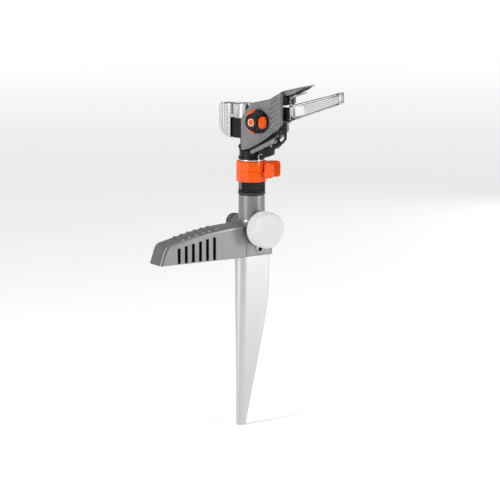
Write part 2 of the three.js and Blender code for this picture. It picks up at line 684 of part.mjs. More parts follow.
// The face's outline: round, with a scallop facing each inlay.
function threeLobes(radius) {
  const points = [];
  for (let i = 0; i < 36; i += 1) {
    const angle = (2 * Math.PI * i) / 36;
    const reach = radius - 0.8 * Math.max(0, Math.cos(3 * angle)) ** 1.4;
    points.push([reach * Math.cos(angle), reach * Math.sin(angle)]);
  }
  return shapeOf(points);
}

function knobFace() {
  return slab(threeLobes(6.6 - GAP), KNOB_FACE - 0.5, KNOB_FACE + 0.4)
    .subtract(rod([0, -20, 0], [0, -30, 0], 4, 20))
    .translate([KNOB_X, 0, KNOB_Z]);
}

function knobInlay(angle) {
  const wall = KNOB_WALL.map(([r, y]) => [r + 0.4, y]);
  const skin = turned([[7, -13.4], ...wall, [8.3, KNOB_FACE], [7, KNOB_FACE]], FINE, 'y');
  return skin.intersect(inlayBox(-GAP).rotate([0, angle, 0])).translate([KNOB_X, 0, KNOB_Z]);
}

function valveSpindle() {
  return turned([
    [0, -5.6], [3.8, -5.6], [3.8, -7], [2.9, -7.2], [2.9, -9.4], [3.8, -9.6], [3.8, -12.9],
      [2.8, -13.1], [2.8, -20.2],
    [0, -20.2],
  ], COARSE, 'y').translate([KNOB_X, 0, KNOB_Z]);
}

// ---------- deflector flap ----------

function deflectorFlap() {
  const pitch = THREE.MathUtils.degToRad(14);
  const along = (d, lift) => [
    FLAP_X + d * Math.cos(pitch) - lift * Math.sin(pitch),
      FLAP_Z + d * Math.sin(pitch) + lift * Math.cos(pitch),
  ];
  const plate = shapeOf([along(1, 0.8), along(2, 2.1), along(28.6, 1.9), along(28.6, 0.9), along(3, 0.8)]);
  const flange = shapeOf([along(3.6, 1), along(3.6, -3), along(9, -3.4), along(19, -1.6), along(28, 1)]);
  return slab(plate, -FLAP_HALF, FLAP_HALF)
    .add(slab(flange, -FLAP_HALF, -FLAP_HALF + 1.2))
    .add(slab(flange, FLAP_HALF - 1.2, FLAP_HALF))
    .add(rod([FLAP_X, -FLAP_HALF, FLAP_Z], [FLAP_X, FLAP_HALF, FLAP_Z], KNUCKLE_RADIUS, 16))
    .subtract(rod([FLAP_X, -20, FLAP_Z], [FLAP_X, 20, FLAP_Z], 1 + GAP, 12));
}

function jetNeedle() {
  return rod(NEEDLE_ROOT, NEEDLE_NECK, NEEDLE_RADIUS, 14)
    .add(rod(new THREE.Vector3(...NEEDLE_ROOT).lerp(new THREE.Vector3(...NEEDLE_NECK), 0.95).toArray(),
      NEEDLE_TIP,
      NEEDLE_RADIUS, 14, 0.5));
}

// ---------- trip mechanism ----------

function tripLever() {
  const tail = rounded([
    [14.8, 100.2], [14.8, 102.6], [20, 108.2], [31, 115.6], [40, 117.6], [40, 112.6], [31.6, 108],
      [31, 103], [23, 100],
  ], 1.8);
  const frame = rounded([[37.9, 113.4], [37.9, 119], [41, 126], [41, 134.6], [48.4, 134.6],
    [47.9, 119.6], [43.6, 115]], 1.2);
  return slab(tail, TRIP_NEAR, TRIP_FAR)
    .add(slab(frame, FRAME_NEAR, FRAME_FAR))
    .subtract(slab(rounded([[42.8, 130.4], [42.8, 132], [46.9, 132], [46.9, 130.4]], 0.5), -20, 20, 2))
    .subtract(slab(rounded([[39.4, 117.4], [42.4, 128.4], [47, 128.9], [46.6, 120.9],
      [43.2, 117]], 0.6), -20, 20, 2))
    .subtract(rod([TRIP_X, -20, TRIP_Z], [TRIP_X, 20, TRIP_Z], 1.5 + GAP, 12))
    .subtract(rod([WIRE_X, TRIP_NEAR - 1, WIRE_Z], [WIRE_X, TRIP_NEAR + 4, WIRE_Z], WIRE_RADIUS + GAP, 12));
}

function tripCover() {
  const outline = rounded([[8.6, 102.4], [7.6, 106.2], [35, 119.8], [40, 119.6], [40, 116],
    [36.6, 115.4]], 1);
  return slab(outline, -12.6, -CORE_HALF - GAP, 2)
    .subtract(rod([0, 0, 95], [0, 0, 112], COLLAR_RADIUS + 0.6, FINE));
}

function wirePath(points, straightness = 0.2) {
  return new THREE.CatmullRomCurve3(points.map((p) => new THREE.Vector3(...p)), false, 'catmullrom',
    straightness);
}

// ---------- assembly ----------

const sprinkler = new THREE.Group();
const head = new THREE.Group();
head.rotation.z = THREE.MathUtils.degToRad(HEAD_TURN);
sprinkler.add(head);

piece(sprinkler, 'spike', spikeBody(), 'spike');
piece(sprinkler, 'base_housing', baseHousing(), 'housing');
piece(sprinkler, 'foot_pedal', footPedal(), 'housing');
const linerSkin = PEDAL_WALL + 0.6;
const liner = slab(pedalOutline(PEDAL_BULKHEAD_X, linerSkin, GAP), -LINER_HALF, LINER_HALF, 6, pedalTaper)
  .subtract(slab(pedalOutline(PEDAL_BULKHEAD_X, linerSkin + LINER_WALL, -1), LINER_WALL - LINER_HALF,
    LINER_HALF - LINER_WALL, 6, pedalTaper))
  .subtract(box([LINER_HEEL_X, 0], [-20, 20], [-5, 40]));
piece(sprinkler, 'pedal_liner', liner, 'black');
for (const [i, y] of PEDAL_SCREWS_Y.entries()) {
  const screw = rod([-25.6, y, PEDAL_SCREW_Z], [PEDAL_BULKHEAD_X - GAP, y, PEDAL_SCREW_Z], 2.8, 16)
    .add(rod([-25, y, PEDAL_SCREW_Z], [-14.5, y, PEDAL_SCREW_Z], 1.5, 12));
  piece(sprinkler, `pedal_screw_${i + 1}`, screw, 'steel');
}
const screwHead = BLOCK_HALF_WIDTH + GAP;
const spikeScrew = turned([
  [0, -screwHead + 0.4], [2.3, -screwHead], [2.3, -screwHead - 1.8], [3.4, -screwHead - 1.8],
  [3.9, -screwHead - 0.9], [3.9, -screwHead], [SCREW_RADIUS, -screwHead], [SCREW_RADIUS, 17.6], [0, 17.6],
], 20, 'y').translate([SCREW_X, 0, SCREW_Z]);
piece(sprinkler, 'spike_screw', spikeScrew, 'steel');
const nutHex = rod([SCREW_X, screwHead, SCREW_Z], [SCREW_X, screwHead + 3, SCREW_Z], 4.2, 6)
  .subtract(rod([SCREW_X, 0, SCREW_Z], [SCREW_X, 20, SCREW_Z], SCREW_RADIUS + GAP, 16));
piece(sprinkler, 'spike_nut', nutHex, 'steel');

piece(sprinkler, 'inlet_nipple', nipple(INLET_END).translate([0, 0, INLET_Z]), 'housing');
piece(sprinkler, 'outlet_nipple', nipple(OUTLET_END).rotate([0, 0, 180]).translate([0, 0, INLET_Z]),
  'housing');
for (const [i, setback] of ORING_SETBACKS.entries()) {
  piece(sprinkler, `inlet_oring_${i + 1}`, oring(INLET_END - setback).translate([0, 0, INLET_Z]), 'rubber');
  piece(sprinkler, `outlet_oring_${i + 1}`, oring(setback - OUTLET_END).translate([0, 0, INLET_Z]),
    'rubber');
}
const strainer = turned([[0, 22], [4.7, 22], [4.7, 36.6], [3.7, 36.6], [3.7, 23], [0, 23]], 20, 'y');
piece(sprinkler, 'inlet_strainer', strainer.translate([0, 0, INLET_Z]), 'strainer');
piece(sprinkler, 'end_cap', endCap().translate([0, 0, INLET_Z]), 'cap');
const sealDisc = rod([0, -CAP_CROWN + GAP, INLET_Z], [0, -OUTLET_END - GAP, INLET_Z], 8.8, 24);
piece(sprinkler, 'end_cap_seal', sealDisc, 'rubber');

piece(sprinkler, 'riser_seal', turned(tubeProfile(RISER_BORE, 13.7, RISER_TOP + GAP, 63.5)), 'rubber');
piece(sprinkler, 'bearing_nipple', bearingNipple(), 'black');
piece(sprinkler, 'lower_sector_ring', sectorRing(RING_FOOT, RING_SPLIT - 0.15, LOWER_TAB_TURN,
  LOWER_TAB_TIP), 'orange');
piece(sprinkler, 'upper_sector_ring', sectorRing(RING_SPLIT + 0.15, BEARING_TOP - 0.1, UPPER_TAB_TURN,
  UPPER_TAB_TIP), 'orange');
piece(sprinkler, 'ring_retainer', turned(tubeProfile(6.4, 13.4, BEARING_TOP + GAP, COLLAR_FOOT - GAP)),
  'chrome');

const spindle = turned([
  [SPINDLE_BORE, SPINDLE_FOOT], [7.8, SPINDLE_FOOT], [7.8, SPINDLE_FOOT + 2.5],
    [SPINDLE_RADIUS, SPINDLE_FOOT + 2.5],
  [SPINDLE_RADIUS, 100.6], [SPINDLE_BORE, 100.6],
], 24);
piece(head, 'spindle', spindle, 'steel');
piece(head, 'spindle_washer_1', turned(tubeProfile(6, 8.3, 40.3, 41.5), 24), 'strainer');
piece(head, 'spindle_washer_2', turned(tubeProfile(6, 8.3, 41.8, 43), 24), 'steel');
piece(head, 'thrust_spring', wire(new Helix(0, 7.2, 44, 49, 3), 0.6, 3, 36), 'steel');
piece(head, 'head_body', headBody(), 'black');
piece(head, 'side_cover_near', nearCover(), 'cover');
piece(head, 'side_cover_far', coverScrewHoles(farCover()), 'cover');
piece(head, 'top_cover_far', farTopCover(), 'cover');
for (const [i, [x, z]] of COVER_SCREWS.entries()) {
  const screw = rod([x, 4.8, z], [x, COVER_OUTER + 1, z], COVER_SCREW_RADIUS, 10)
    .add(rod([x, COVER_OUTER + GAP, z], [x, COVER_OUTER + 1.6, z], 2.6, 14));
  piece(head, `cover_screw_${i + 1}`, screw, 'steel');
}

function coverScrewHoles(cover) {
  return COVER_SCREWS.reduce(
    (body, [x, z]) => body.subtract(rod([x, 0, z], [x, 20, z], COVER_SCREW_RADIUS + GAP, 10)), cover,
  );
}

const nozzle = rod(alongJet(-3.7), alongJet(2.4), NOZZLE_RADIUS, 16)
  .subtract(rod(alongJet(-9), alongJet(9), 1.2, 12));
piece(head, 'nozzle', nozzle, 'chrome');
piece(head, 'jet_needle', jetNeedle(), 'steel');
piece(head, 'arm_pivot_pin', rod([PIVOT_X, 0, 124.4], [PIVOT_X, 0, 150.8], PIVOT_RADIUS, 16), 'steel');
piece(head, 'arm_spring', wire(new Helix(PIVOT_X, 4.2, 137.4, 143.4, 4), 0.55, 3, 44), 'steel');
piece(head, 'flap_pin', rod([FLAP_X, -10.8, FLAP_Z], [FLAP_X, 10, FLAP_Z], 1, 12), 'steel');
const tripPin = rod([TRIP_X, TRIP_NEAR - 0.6, TRIP_Z], [TRIP_X, 3, TRIP_Z], 1.5, 12)
  .add(rod([TRIP_X, -TRIP_FAR, TRIP_Z], [TRIP_X, -TRIP_FAR + 1.4, TRIP_Z], 2.6, 14));
piece(head, 'trip_pin', tripPin, 'steel');

piece(head, 'arm', armBody(), 'chrome');
piece(head, 'counterweight', counterweight(), 'chrome');
const rivet = rod([-37.6, 0, RIVET_Z], [-17.6, 0, RIVET_Z], 1.3, 12)
  .add(rod([-38.5, 0, RIVET_Z], [-37.3, 0, RIVET_Z], 2.6, 14));
piece(head, 'counterweight_rivet', rivet, 'steel');

piece(head, 'knob_body', knobBody(), 'black');
piece(head, 'knob_face', knobFace(), 'face');
const button = rod([KNOB_X, KNOB_FACE + 1.5, KNOB_Z], [KNOB_X, KNOB_FACE - 0.9, KNOB_Z], 3.3, 20);
piece(head, 'knob_button', button, 'orange');
for (const [i, angle] of INLAY_ANGLES.entries()) {
  piece(head, `knob_inlay_${i + 1}`, knobInlay(angle), 'orange');
}
piece(head, 'valve_spindle', valveSpindle(), 'steel');

piece(head, 'deflector_flap', deflectorFlap(), 'cover');
piece(head, 'trip_lever', tripLever(), 'black');
piece(head, 'trip_cover', tripCover(), 'cover');
const clip = wirePath([[41, -9.6, 123.6], [40.2, -10.5, 122.4], [38.6, -13.4, 120.6],
  [36.4, -13.4, 115.4]]);
piece(head, 'trip_clip', wire(clip, 0.5, 3, 8), 'steel');
const stop = wirePath([
  [WIRE_X, -4, WIRE_Z], [WIRE_X, -6, WIRE_Z], [WIRE_X - 0.2, -7.9, WIRE_Z],
    [WIRE_X - 2.4, -8, WIRE_Z - 0.4],
  [15.6, -8, 101.6], [15, -8, 99.6], [15.2, -8, 92],
]);
piece(head, 'trip_wire', wire(stop, WIRE_RADIUS, 4, 18), 'steel');

export default sprinkler;
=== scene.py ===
# Visual model of the impact sprinkler. Lengths are written in millimetres and made in metres.
import json
import math

import bpy
from mathutils import Matrix, Vector
from mathutils.geometry import tessellate_polygon


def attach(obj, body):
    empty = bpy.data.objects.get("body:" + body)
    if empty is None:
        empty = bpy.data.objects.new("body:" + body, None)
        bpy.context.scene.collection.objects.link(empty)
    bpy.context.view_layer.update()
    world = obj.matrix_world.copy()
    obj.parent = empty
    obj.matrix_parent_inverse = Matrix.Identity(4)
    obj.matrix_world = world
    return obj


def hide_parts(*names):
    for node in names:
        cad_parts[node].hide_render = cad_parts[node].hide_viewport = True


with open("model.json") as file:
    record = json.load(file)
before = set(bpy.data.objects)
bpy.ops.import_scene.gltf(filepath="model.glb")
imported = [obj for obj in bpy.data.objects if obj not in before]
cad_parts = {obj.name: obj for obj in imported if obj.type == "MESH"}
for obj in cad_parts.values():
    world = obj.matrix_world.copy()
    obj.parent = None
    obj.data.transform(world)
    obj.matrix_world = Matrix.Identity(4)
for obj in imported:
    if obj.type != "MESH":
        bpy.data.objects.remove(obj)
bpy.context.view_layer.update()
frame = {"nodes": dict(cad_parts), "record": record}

WORLD = Matrix.Identity(4)
HEAD = Matrix.Rotation(math.radians(-71), 4, "Z")      # X along the nozzle, the knob on -Y

# Axes that run along Y are given by their X and Z.
SPIKE_SCREW = (0.6, 7.4)
VALVE = (19.6, 136.2)               # knob and valve spindle
FLAP_PIN = (44.6, 165.1)
TRIP_PIN = (30, 112.4)
WIRE_PIVOT = (20, 103)
COVER_SCREWS = ((2, 128), (31, 129.4), (6, 112.4))
INLET_Z = 28                        # axis of the hose line
RIVET_Z = 144.6                     # axis of the counterweight's rivet
ARM_PIVOT_X = -9
KNOB = (VALVE[0], 0, VALVE[1])


# ---------- outlines ----------

def arc(centre, radius, first, last, steps=12):
    """Points on a circle, angles in degrees."""
    span = [math.radians(first + (last - first) * i / steps) for i in range(steps + 1)]
    return [(centre[0] + radius * math.cos(a), centre[1] + radius * math.sin(a)) for a in span]


def circle(radius, centre=(0, 0), count=48):
    """Points all round a circle."""
    return arc(centre, radius, 0, 360 - 360 / count, count - 1)


def polygon(count, radius, first):
    turns = [math.radians(first + 360 / count * i) for i in range(count)]
    return [(radius * math.cos(a), radius * math.sin(a)) for a in turns]


def curve_point(points, t):
    """The point at t on a quadratic or cubic curve."""
    level = [Vector(p) for p in points]
    while len(level) > 1:
        level = [a.lerp(b, t) for a, b in zip(level, level[1:])]
    return level[0]


def bezier(points, steps=16):
    """Points on a quadratic or cubic curve, without its first point."""
    return [tuple(curve_point(points, i / steps)) for i in range(1, steps + 1)]


def soften(points, radius, closed=True, steps=4):
    """Rounds the corners of a polygon with arcs."""
    made = []
    count = len(points)
    for i, point in enumerate(points):
        if not closed and i in (0, count - 1):
            made.append(tuple(point))
            continue
        here, before, after = Vector(point), Vector(points[i - 1]), Vector(points[(i + 1) % count])
        back, on = before - here, after - here
        reach = radius[i] if isinstance(radius, (list, tuple)) else radius
        if reach <= 0 or back.length < 1e-6 or on.length < 1e-6:
            made.append(tuple(here))
            continue
        turn = back.angle(on)
        if turn > 2.97:
            made.append(tuple(here))
            continue
        cutback = min(reach / math.tan(turn / 2), back.length * 0.48, on.length * 0.48)
        near, far = here + back.normalized() * cutback, here + on.normalized() * cutback
        for k in range(steps + 1):
            t = k / steps
            made.append(tuple(near * (1 - t) ** 2 + here * 2 * t * (1 - t) + far * t * t))
    return made


def area(loop):
    """The signed area inside a loop."""
    return sum(a[0] * b[1] - b[0] * a[1] for a, b in zip(loop, loop[1:] + loop[:1])) / 2


def inset(loop, distance):
    """Moves a loop towards the left of its direction."""
    made = []
    for i, point in enumerate(loop):
        here = Vector(point)
        along = (here - Vector(loop[i - 1])).normalized()
        onward = (Vector(loop[(i + 1) % len(loop)]) - here).normalized()
        normal = Vector((-along.y - onward.y, along.x + onward.x))
        if normal.length < 1e-6:
            normal = Vector((-along.y, along.x))
        normal.normalize()
        made.append(tuple(here + normal * distance / max(0.5, normal.dot(Vector((-along.y, along.x))))))
    return made


# ---------- solids: lists of points and faces ----------

def outward(points, faces):
    """Turns the faces round if the solid is inside out."""
    volume = 0
    for face in faces:
        a = Vector(points[face[0]])
        for i, j in zip(face[1:], face[2:]):
            volume += a.dot(Vector(points[i]).cross(Vector(points[j])))
    return points, faces if volume > 0 else [tuple(reversed(face)) for face in faces]


def plate(loops, low, high, bevel=0.4, across="y", steps=3, warp=None):
    """A flat piece from outlines, the first one outside and the others holes, with rounded rims."""
    turned = []
    for i, loop in enumerate(loops):
        clean = [p for k, p in enumerate(loop) if (Vector(p) - Vector(loop[k - 1])).length > 1e-4]
        turned.append(clean if (area(clean) > 0) == (i == 0) else clean[::-1])
    points, faces = [], []
    levels = []
    for k in range(steps + 1):
        a = math.pi / 2 * k / steps
        levels.append((bevel * (1 - math.sin(a)), low + bevel * (1 - math.cos(a))))
    if bevel <= 0:
        levels = [(0, low)]
    levels += [(d, low + high - h) for d, h in reversed(levels)]
    first, last = [], []
    for loop in turned:
        rings = []
        for distance, height in levels:
            rings.append(range(len(points), len(points) + len(loop)))
            points += [(p[0], height, p[1]) if across == "y" else (p[0], p[1], height)
                       for p in (inset(loop, distance) if distance else loop)]
        for lower, upper in zip(rings, rings[1:]):
            for k in range(len(loop)):
                n = (k + 1) % len(loop)
                faces.append((lower[k], lower[n], upper[n], upper[k]))
        first.append(list(rings[0]))
        last.append(list(rings[-1]))
    for rings, flip in ((first, True), (last, False)):
        flat = [i for ring in rings for i in ring]
        outlines = [[Vector((points[i][0], points[i][2] if across == "y" else points[i][1], 0)) for i in ring]
                    for ring in rings]
        for face in tessellate_polygon(outlines):
            faces.append(tuple(flat[i] for i in (reversed(face) if flip else face)))
    if warp:
        points = [warp(p) for p in points]
    return outward(points, faces)


def lathe(profile, segments=96, about="z", centre=(0, 0, 0), shape=None):
    """Turns (radius, height) pairs; a profile that ends off the axis is closed on itself."""
    points, faces, rings = [], [], []
    for r, h in profile:
        if r < 1e-6:
            rings.append([len(points)] * segments)
            points.append((0, 0, h))
            continue
        rings.append(list(range(len(points), len(points) + segments)))
        for k in range(segments):
            a = 2 * math.pi * k / segments
            reach = shape(r, h, a) if shape else r
            points.append((reach * math.cos(a), reach * math.sin(a), h))
    pairs = list(zip(rings, rings[1:]))
    if profile[0][0] > 1e-6:
        pairs.append((rings[-1], rings[0]))
    for lower, upper in pairs:
        for k in range(segments):
            n = (k + 1) % segments
            face = []
            for i in (lower[k], lower[n], upper[n], upper[k]):
                if i not in face:
                    face.append(i)
            if len(face) > 2:
                faces.append(tuple(face))
    if about == "y":
        points = [(x, z, -y) for x, y, z in points]
    return outward([(x + centre[0], y + centre[1], z + centre[2]) for x, y, z in points], faces)


def loft(sections):
    """Skins closed sections with the same number of points, and closes both ends."""
    count = len(sections[0])
    points = [tuple(p) for section in sections for p in section]
    faces = []
    for row in range(len(sections) - 1):
        for k in range(count):
            n = (k + 1) % count
            a, b = row * count, (row + 1) * count
            faces.append((a + k, a + n, b + n, b + k))
    faces.append(tuple(range(count))[::-1])
    faces.append(tuple(range(len(points) - count, len(points))))
    return outward(points, faces)


def rod(start, end, radius, segments=24, dome=0.0, far_radius=None):
    """A straight bar; dome rounds both ends by that length."""
    start, end = Vector(start), Vector(end)
    length = (end - start).length
    far = radius if far_radius is None else far_radius
    steps = 5
    profile = [(0, 0)]
    for k in range(steps + 1 if dome else 1):
        a = math.pi / 2 * k / steps
        profile.append((radius - min(dome, radius * 0.98) * (1 - math.sin(a)) if dome else radius,
                        dome * (1 - math.cos(a)) if dome else 0))
    profile += [(r * far / radius, length - h) for r, h in reversed(profile)]
    points, faces = lathe(profile, segments)
    spin = (end - start).to_track_quat("Z", "Y")
    return [tuple(spin @ Vector(p) + start) for p in points], faces


def pin(axis, near, far, radius, segments=24, dome=0.0):
    """A rod along Y."""
    x, z = axis
    return rod((x, near, z), (x, far, z), radius, segments, dome)


def box(x, y, z, bevel=0.0):
    corners = [(x[0], y[0]), (x[1], y[0]), (x[1], y[1]), (x[0], y[1])]
    return plate([soften(corners, bevel, steps=3) if bevel else corners], z[0], z[1], bevel, "z")


def join(*solids):
    """Several solids in one."""
    points, faces = [], []
    for p, f in solids:
        faces += [tuple(i + len(points) for i in face) for face in f]
        points += p
    return points, faces


def placed(solid, offset=(0, 0, 0), turn=None):
    """A turned and moved copy."""
    move = Matrix.Translation(offset) @ (turn or WORLD)
    return [tuple(move @ Vector(p)) for p in solid[0]], solid[1]


def add_object(name, data):
    obj = bpy.data.objects.new(name, data)
    bpy.context.scene.collection.objects.link(obj)
    return obj


def mesh_of(name, points, faces):
    mesh = bpy.data.meshes.new(name)
    mesh.from_pydata(points, [], faces)
    mesh.validate()
    mesh.update()
    return mesh


def raw(solid):
    """A scratch object for cutting, at a hundred times the size for accuracy."""
    return add_object("raw", mesh_of("raw", [Vector(p) / 10 for p in solid[0]], solid[1]))


def combine(solid, others):
    """Cuts each of the others out of a solid."""
    obj = raw(solid)
    for other in others:
        tool = raw(other)
        mod = obj.modifiers.new("cut", "BOOLEAN")
        mod.operation, mod.solver, mod.object = "DIFFERENCE", "EXACT", tool
        made = bpy.data.meshes.new_from_object(obj.evaluated_get(bpy.context.evaluated_depsgraph_get()))
        obj.modifiers.clear()
        obj.data = made
        bpy.data.objects.remove(tool)
    points = [tuple(v.co * 10) for v in obj.data.vertices]
    faces = [tuple(p.vertices) for p in obj.data.polygons]
    bpy.data.objects.remove(obj)
    return points, faces


# ---------- visible pieces ----------

def finish_piece(obj, body, material):
    obj.data.materials.clear()
    obj.data.materials.append(material)
    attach(obj, body)


def piece(name, solid, body, slot, nodes=(), place=WORLD, angle=38, material=None, edge=0.0):
    """Makes one visible piece from a solid."""
    mesh = mesh_of(name, [place @ Vector(p) / 1000 for p in solid[0]], solid[1])
    mesh.polygons.foreach_set("use_smooth", [True] * len(mesh.polygons))
    mesh.set_sharp_from_angle(angle=math.radians(angle))
    obj = add_object(name, mesh)
    if edge:
        bevel = obj.modifiers.new("edge", "BEVEL")
        bevel.width, bevel.segments, bevel.limit_method = edge / 1000, 2, "ANGLE"
        bevel.angle_limit = math.radians(42)
    weight = obj.modifiers.new("shading", "WEIGHTED_NORMAL")
    weight.keep_sharp = True
    finish_piece(obj, body, material or MATERIALS[slot])
    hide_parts(*nodes)


def sweep(name, path, radius, body, slot, nodes, place):
    """A round wire through points."""
    curve = bpy.data.curves.new(name, "CURVE")
    curve.dimensions = "3D"
    curve.bevel_depth, curve.bevel_resolution, curve.use_fill_caps = radius / 1000, 4, True
    line = curve.splines.new("POLY")
    line.points.add(len(path) - 1)
    for point, place_at in zip(line.points, path):
        point.co = (*(place @ Vector(place_at) / 1000), 1)
    line.use_smooth = True
    temp = add_object("temp", curve)
    mesh = bpy.data.meshes.new_from_object(temp.evaluated_get(bpy.context.evaluated_depsgraph_get()))
    bpy.data.objects.remove(temp)
    mesh.name = name
    obj = add_object(name, mesh)
    finish_piece(obj, body, MATERIALS[slot])
    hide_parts(*nodes)


# ---------- materials ----------

class Nodes:
    """Small wrapper for building a material's node tree."""

    def __init__(self, name):
        self.material = bpy.data.materials.new(name)
        self.material.use_nodes = True
        self.tree = self.material.node_tree
        self.shader = self.tree.nodes["Principled BSDF"]
        self.coords = self.add("ShaderNodeTexCoord").outputs["Object"]

    def add(self, kind, **values):
        node = self.tree.nodes.new(kind)
        for key, value in values.items():
            if hasattr(node, key):
                setattr(node, key, value)
            else:
                node.inputs[key.replace("_", " ")].default_value = value
        return node

    def link(self, out, into):
        self.tree.links.new(out, into)

    def scaled(self, scale):
        mapping = self.add("ShaderNodeMapping")
        mapping.inputs["Scale"].default_value = scale
        self.link(self.coords, mapping.inputs["Vector"])
        return mapping.outputs["Vector"]

    def noise(self, scale, detail=3, stretch=(1, 1, 1)):
        node = self.add("ShaderNodeTexNoise", Scale=scale, Detail=detail)
        self.link(self.scaled(stretch), node.inputs["Vector"])
        return node.outputs["Fac"]

    def span(self, value, low, high, start=0.3, stop=0.7):
        node = self.add("ShaderNodeMapRange")
        for key, number in (("From Min", start), ("From Max", stop), ("To Min", low), ("To Max", high)):
            node.inputs[key].default_value = number
        self.link(value, node.inputs["Value"])
        return node.outputs["Result"]

    def blend(self, value, first, second):
        node = self.add("ShaderNodeMix")
        node.data_type = "RGBA"
        self.link(value, node.inputs[0])
        node.inputs[6].default_value = (*first, 1)
        node.inputs[7].default_value = (*second, 1)
        return node.outputs[2]

    def bump(self, value, strength, distance):
        node = self.add("ShaderNodeBump", Strength=strength, Distance=distance)
        self.link(value, node.inputs["Height"])
        return node.outputs["Normal"]


def moulded(name, colour, shade, rough, grain=2600, depth=0.00004, strength=0.25,
            metallic=0.0, gloss=0.5):
    """Moulded plastic: a fine spark-eroded grain, faint mottling and uneven gloss."""
    n = Nodes(name)
    n.link(n.blend(n.span(n.noise(60, 4), 0, 1), colour, shade), n.shader.inputs["Base Color"])
    n.link(n.span(n.noise(140, 5), rough[0], rough[1]), n.shader.inputs["Roughness"])
    n.link(n.bump(n.noise(grain, 2), strength, depth), n.shader.inputs["Normal"])
    n.shader.inputs["Specular IOR Level"].default_value = gloss
    n.shader.inputs["Metallic"].default_value = metallic
    return n.material


def metal(name, colour, shade, rough, stretch, scale=120, strength=0.12, depth=0.00003):
    """Metal with drawn or rolled streaks along one direction."""
    n = Nodes(name)
    streak = n.noise(scale, 6, stretch)
    n.link(n.blend(n.span(streak, 0, 1), colour, shade), n.shader.inputs["Base Color"])
    n.link(n.span(n.noise(90, 4), rough[0], rough[1]), n.shader.inputs["Roughness"])
    n.link(n.bump(streak, strength, depth), n.shader.inputs["Normal"])
    n.shader.inputs["Metallic"].default_value = 1
    return n.material


# Two colours that blend, and the lowest and highest roughness, for each slot.
MATERIALS = {
    "housing": moulded("housing", (0.245, 0.25, 0.255), (0.22, 0.225, 0.23), (0.30, 0.35),
                       strength=0.05, metallic=0.7),
    "cap": moulded("cap", (0.66, 0.68, 0.67), (0.63, 0.65, 0.64), (0.5, 0.62), 1500, 0.0001, 0.4),
    "spike_metal": metal("spike_metal", (0.54, 0.55, 0.56), (0.51, 0.52, 0.53), (0.30, 0.33),
                         (1, 1, 0.03), 60, 0.0),
    "black_plastic": moulded("black_plastic", (0.005, 0.006, 0.006), (0.008, 0.009, 0.009), (0.2, 0.3),
                             gloss=0.22),
    "cover_grey": moulded("cover_grey", (0.185, 0.19, 0.195), (0.16, 0.165, 0.17), (0.28, 0.36), 2200,
                          strength=0.1, metallic=0.35),
    "orange": moulded("orange", (0.80, 0.092, 0.0), (0.76, 0.084, 0.0), (0.28, 0.38), 1500, gloss=0.2),
    "knob_grey": moulded("knob_grey", (0.02, 0.022, 0.023), (0.015, 0.017, 0.018), (0.3, 0.4), gloss=0.3),
    "chrome": metal("chrome", (0.68, 0.69, 0.70), (0.63, 0.64, 0.65), (0.10, 0.18),
                    (0.06, 0.06, 1), 90, 0.03),
    "steel": metal("steel", (0.46, 0.46, 0.45), (0.38, 0.38, 0.37), (0.24, 0.36), (1, 1, 1), 300),
    "seal_rubber": moulded("seal_rubber", (0.016, 0.016, 0.016), (0.024, 0.024, 0.023), (0.55, 0.7), 900),
    "white_plastic": moulded("white_plastic", (0.78, 0.78, 0.76), (0.70, 0.70, 0.68), (0.5, 0.6)),
}
PALE_RIM = moulded("knob_rim", (0.86, 0.62, 0.42), (0.80, 0.56, 0.38), (0.4, 0.5))


# ---------- camera, light and floor ----------

UP = Vector((0, 0, 1))
VIEW_AZIMUTH, VIEW_RISE = math.radians(-32), math.radians(10.5)
# towards the camera
BACK = Vector((math.sin(VIEW_AZIMUTH) * math.cos(VIEW_RISE),
               -math.cos(VIEW_AZIMUTH) * math.cos(VIEW_RISE), math.sin(VIEW_RISE)))
RIGHT = BACK.cross(UP).normalized() * -1
CAMERA_TARGET = Vector((-0.00153, 0.00095, 0.0038))
CAMERA_DISTANCE = 2.3
FLOOR_Z = -0.1745
FLOOR_HALF = 6

# name, place, width, height and power; the two tall strips stand on the floor
AREA_LIGHTS = (
    ("left", RIGHT * -0.95 + BACK * 0.66 + UP * 0.40, 0.32, 1.2, 11),
    ("right", RIGHT * 1.15 + BACK * 0.5 + UP * 0.40, 0.32, 1.2, 11),
    ("top", UP * 1.3 - BACK * 0.2, 0.9, 0.9, 2),
    ("rim", RIGHT * 0.7 - BACK * 1.2 + UP * 0.5, 0.6, 0.9, 2),
)


def facing(direction):
    return direction.to_track_quat("-Z", "Y").to_euler()


def fading(tree, output, operation, span, levels, axis=None):
    """A level that changes smoothly with a measure of the texture coordinates."""
    where, measure = tree.nodes.new("ShaderNodeTexCoord"), tree.nodes.new("ShaderNodeVectorMath")
    measure.operation = operation
    if axis:
        measure.inputs[1].default_value = axis
    fade = tree.nodes.new("ShaderNodeMapRange")
    fade.interpolation_type = "SMOOTHSTEP"
    for key, number in zip(("From Min", "From Max", "To Min", "To Max"), (*span, *levels)):
        fade.inputs[key].default_value = number
    tree.links.new(where.outputs[output], measure.inputs[0])
    tree.links.new(measure.outputs["Value"], fade.inputs["Value"])
    return fade.outputs["Result"]


def make_camera():
    camera = add_object("camera", bpy.data.cameras.new("camera"))
    camera.data.sensor_width, camera.data.lens = 36, 165.6
    camera.location = CAMERA_TARGET + BACK * CAMERA_DISTANCE
    camera.rotation_euler = facing(-BACK)
    bpy.context.scene.camera = camera


def make_lights():
    for name, place, width, height, power in AREA_LIGHTS:
        light = add_object(name, bpy.data.lights.new(name, "AREA"))
        light.data.shape, light.data.size, light.data.size_y = "RECTANGLE", width, height
        light.data.energy = power
        light.location = place
        light.rotation_euler = facing(-place)
    sun = add_object("sun", bpy.data.lights.new("sun", "SUN"))
    sun.data.energy, sun.data.angle = 0.7, math.radians(28)
    sun.rotation_euler = facing(RIGHT * 0.7 - BACK * 0.6 - UP * 1.1)


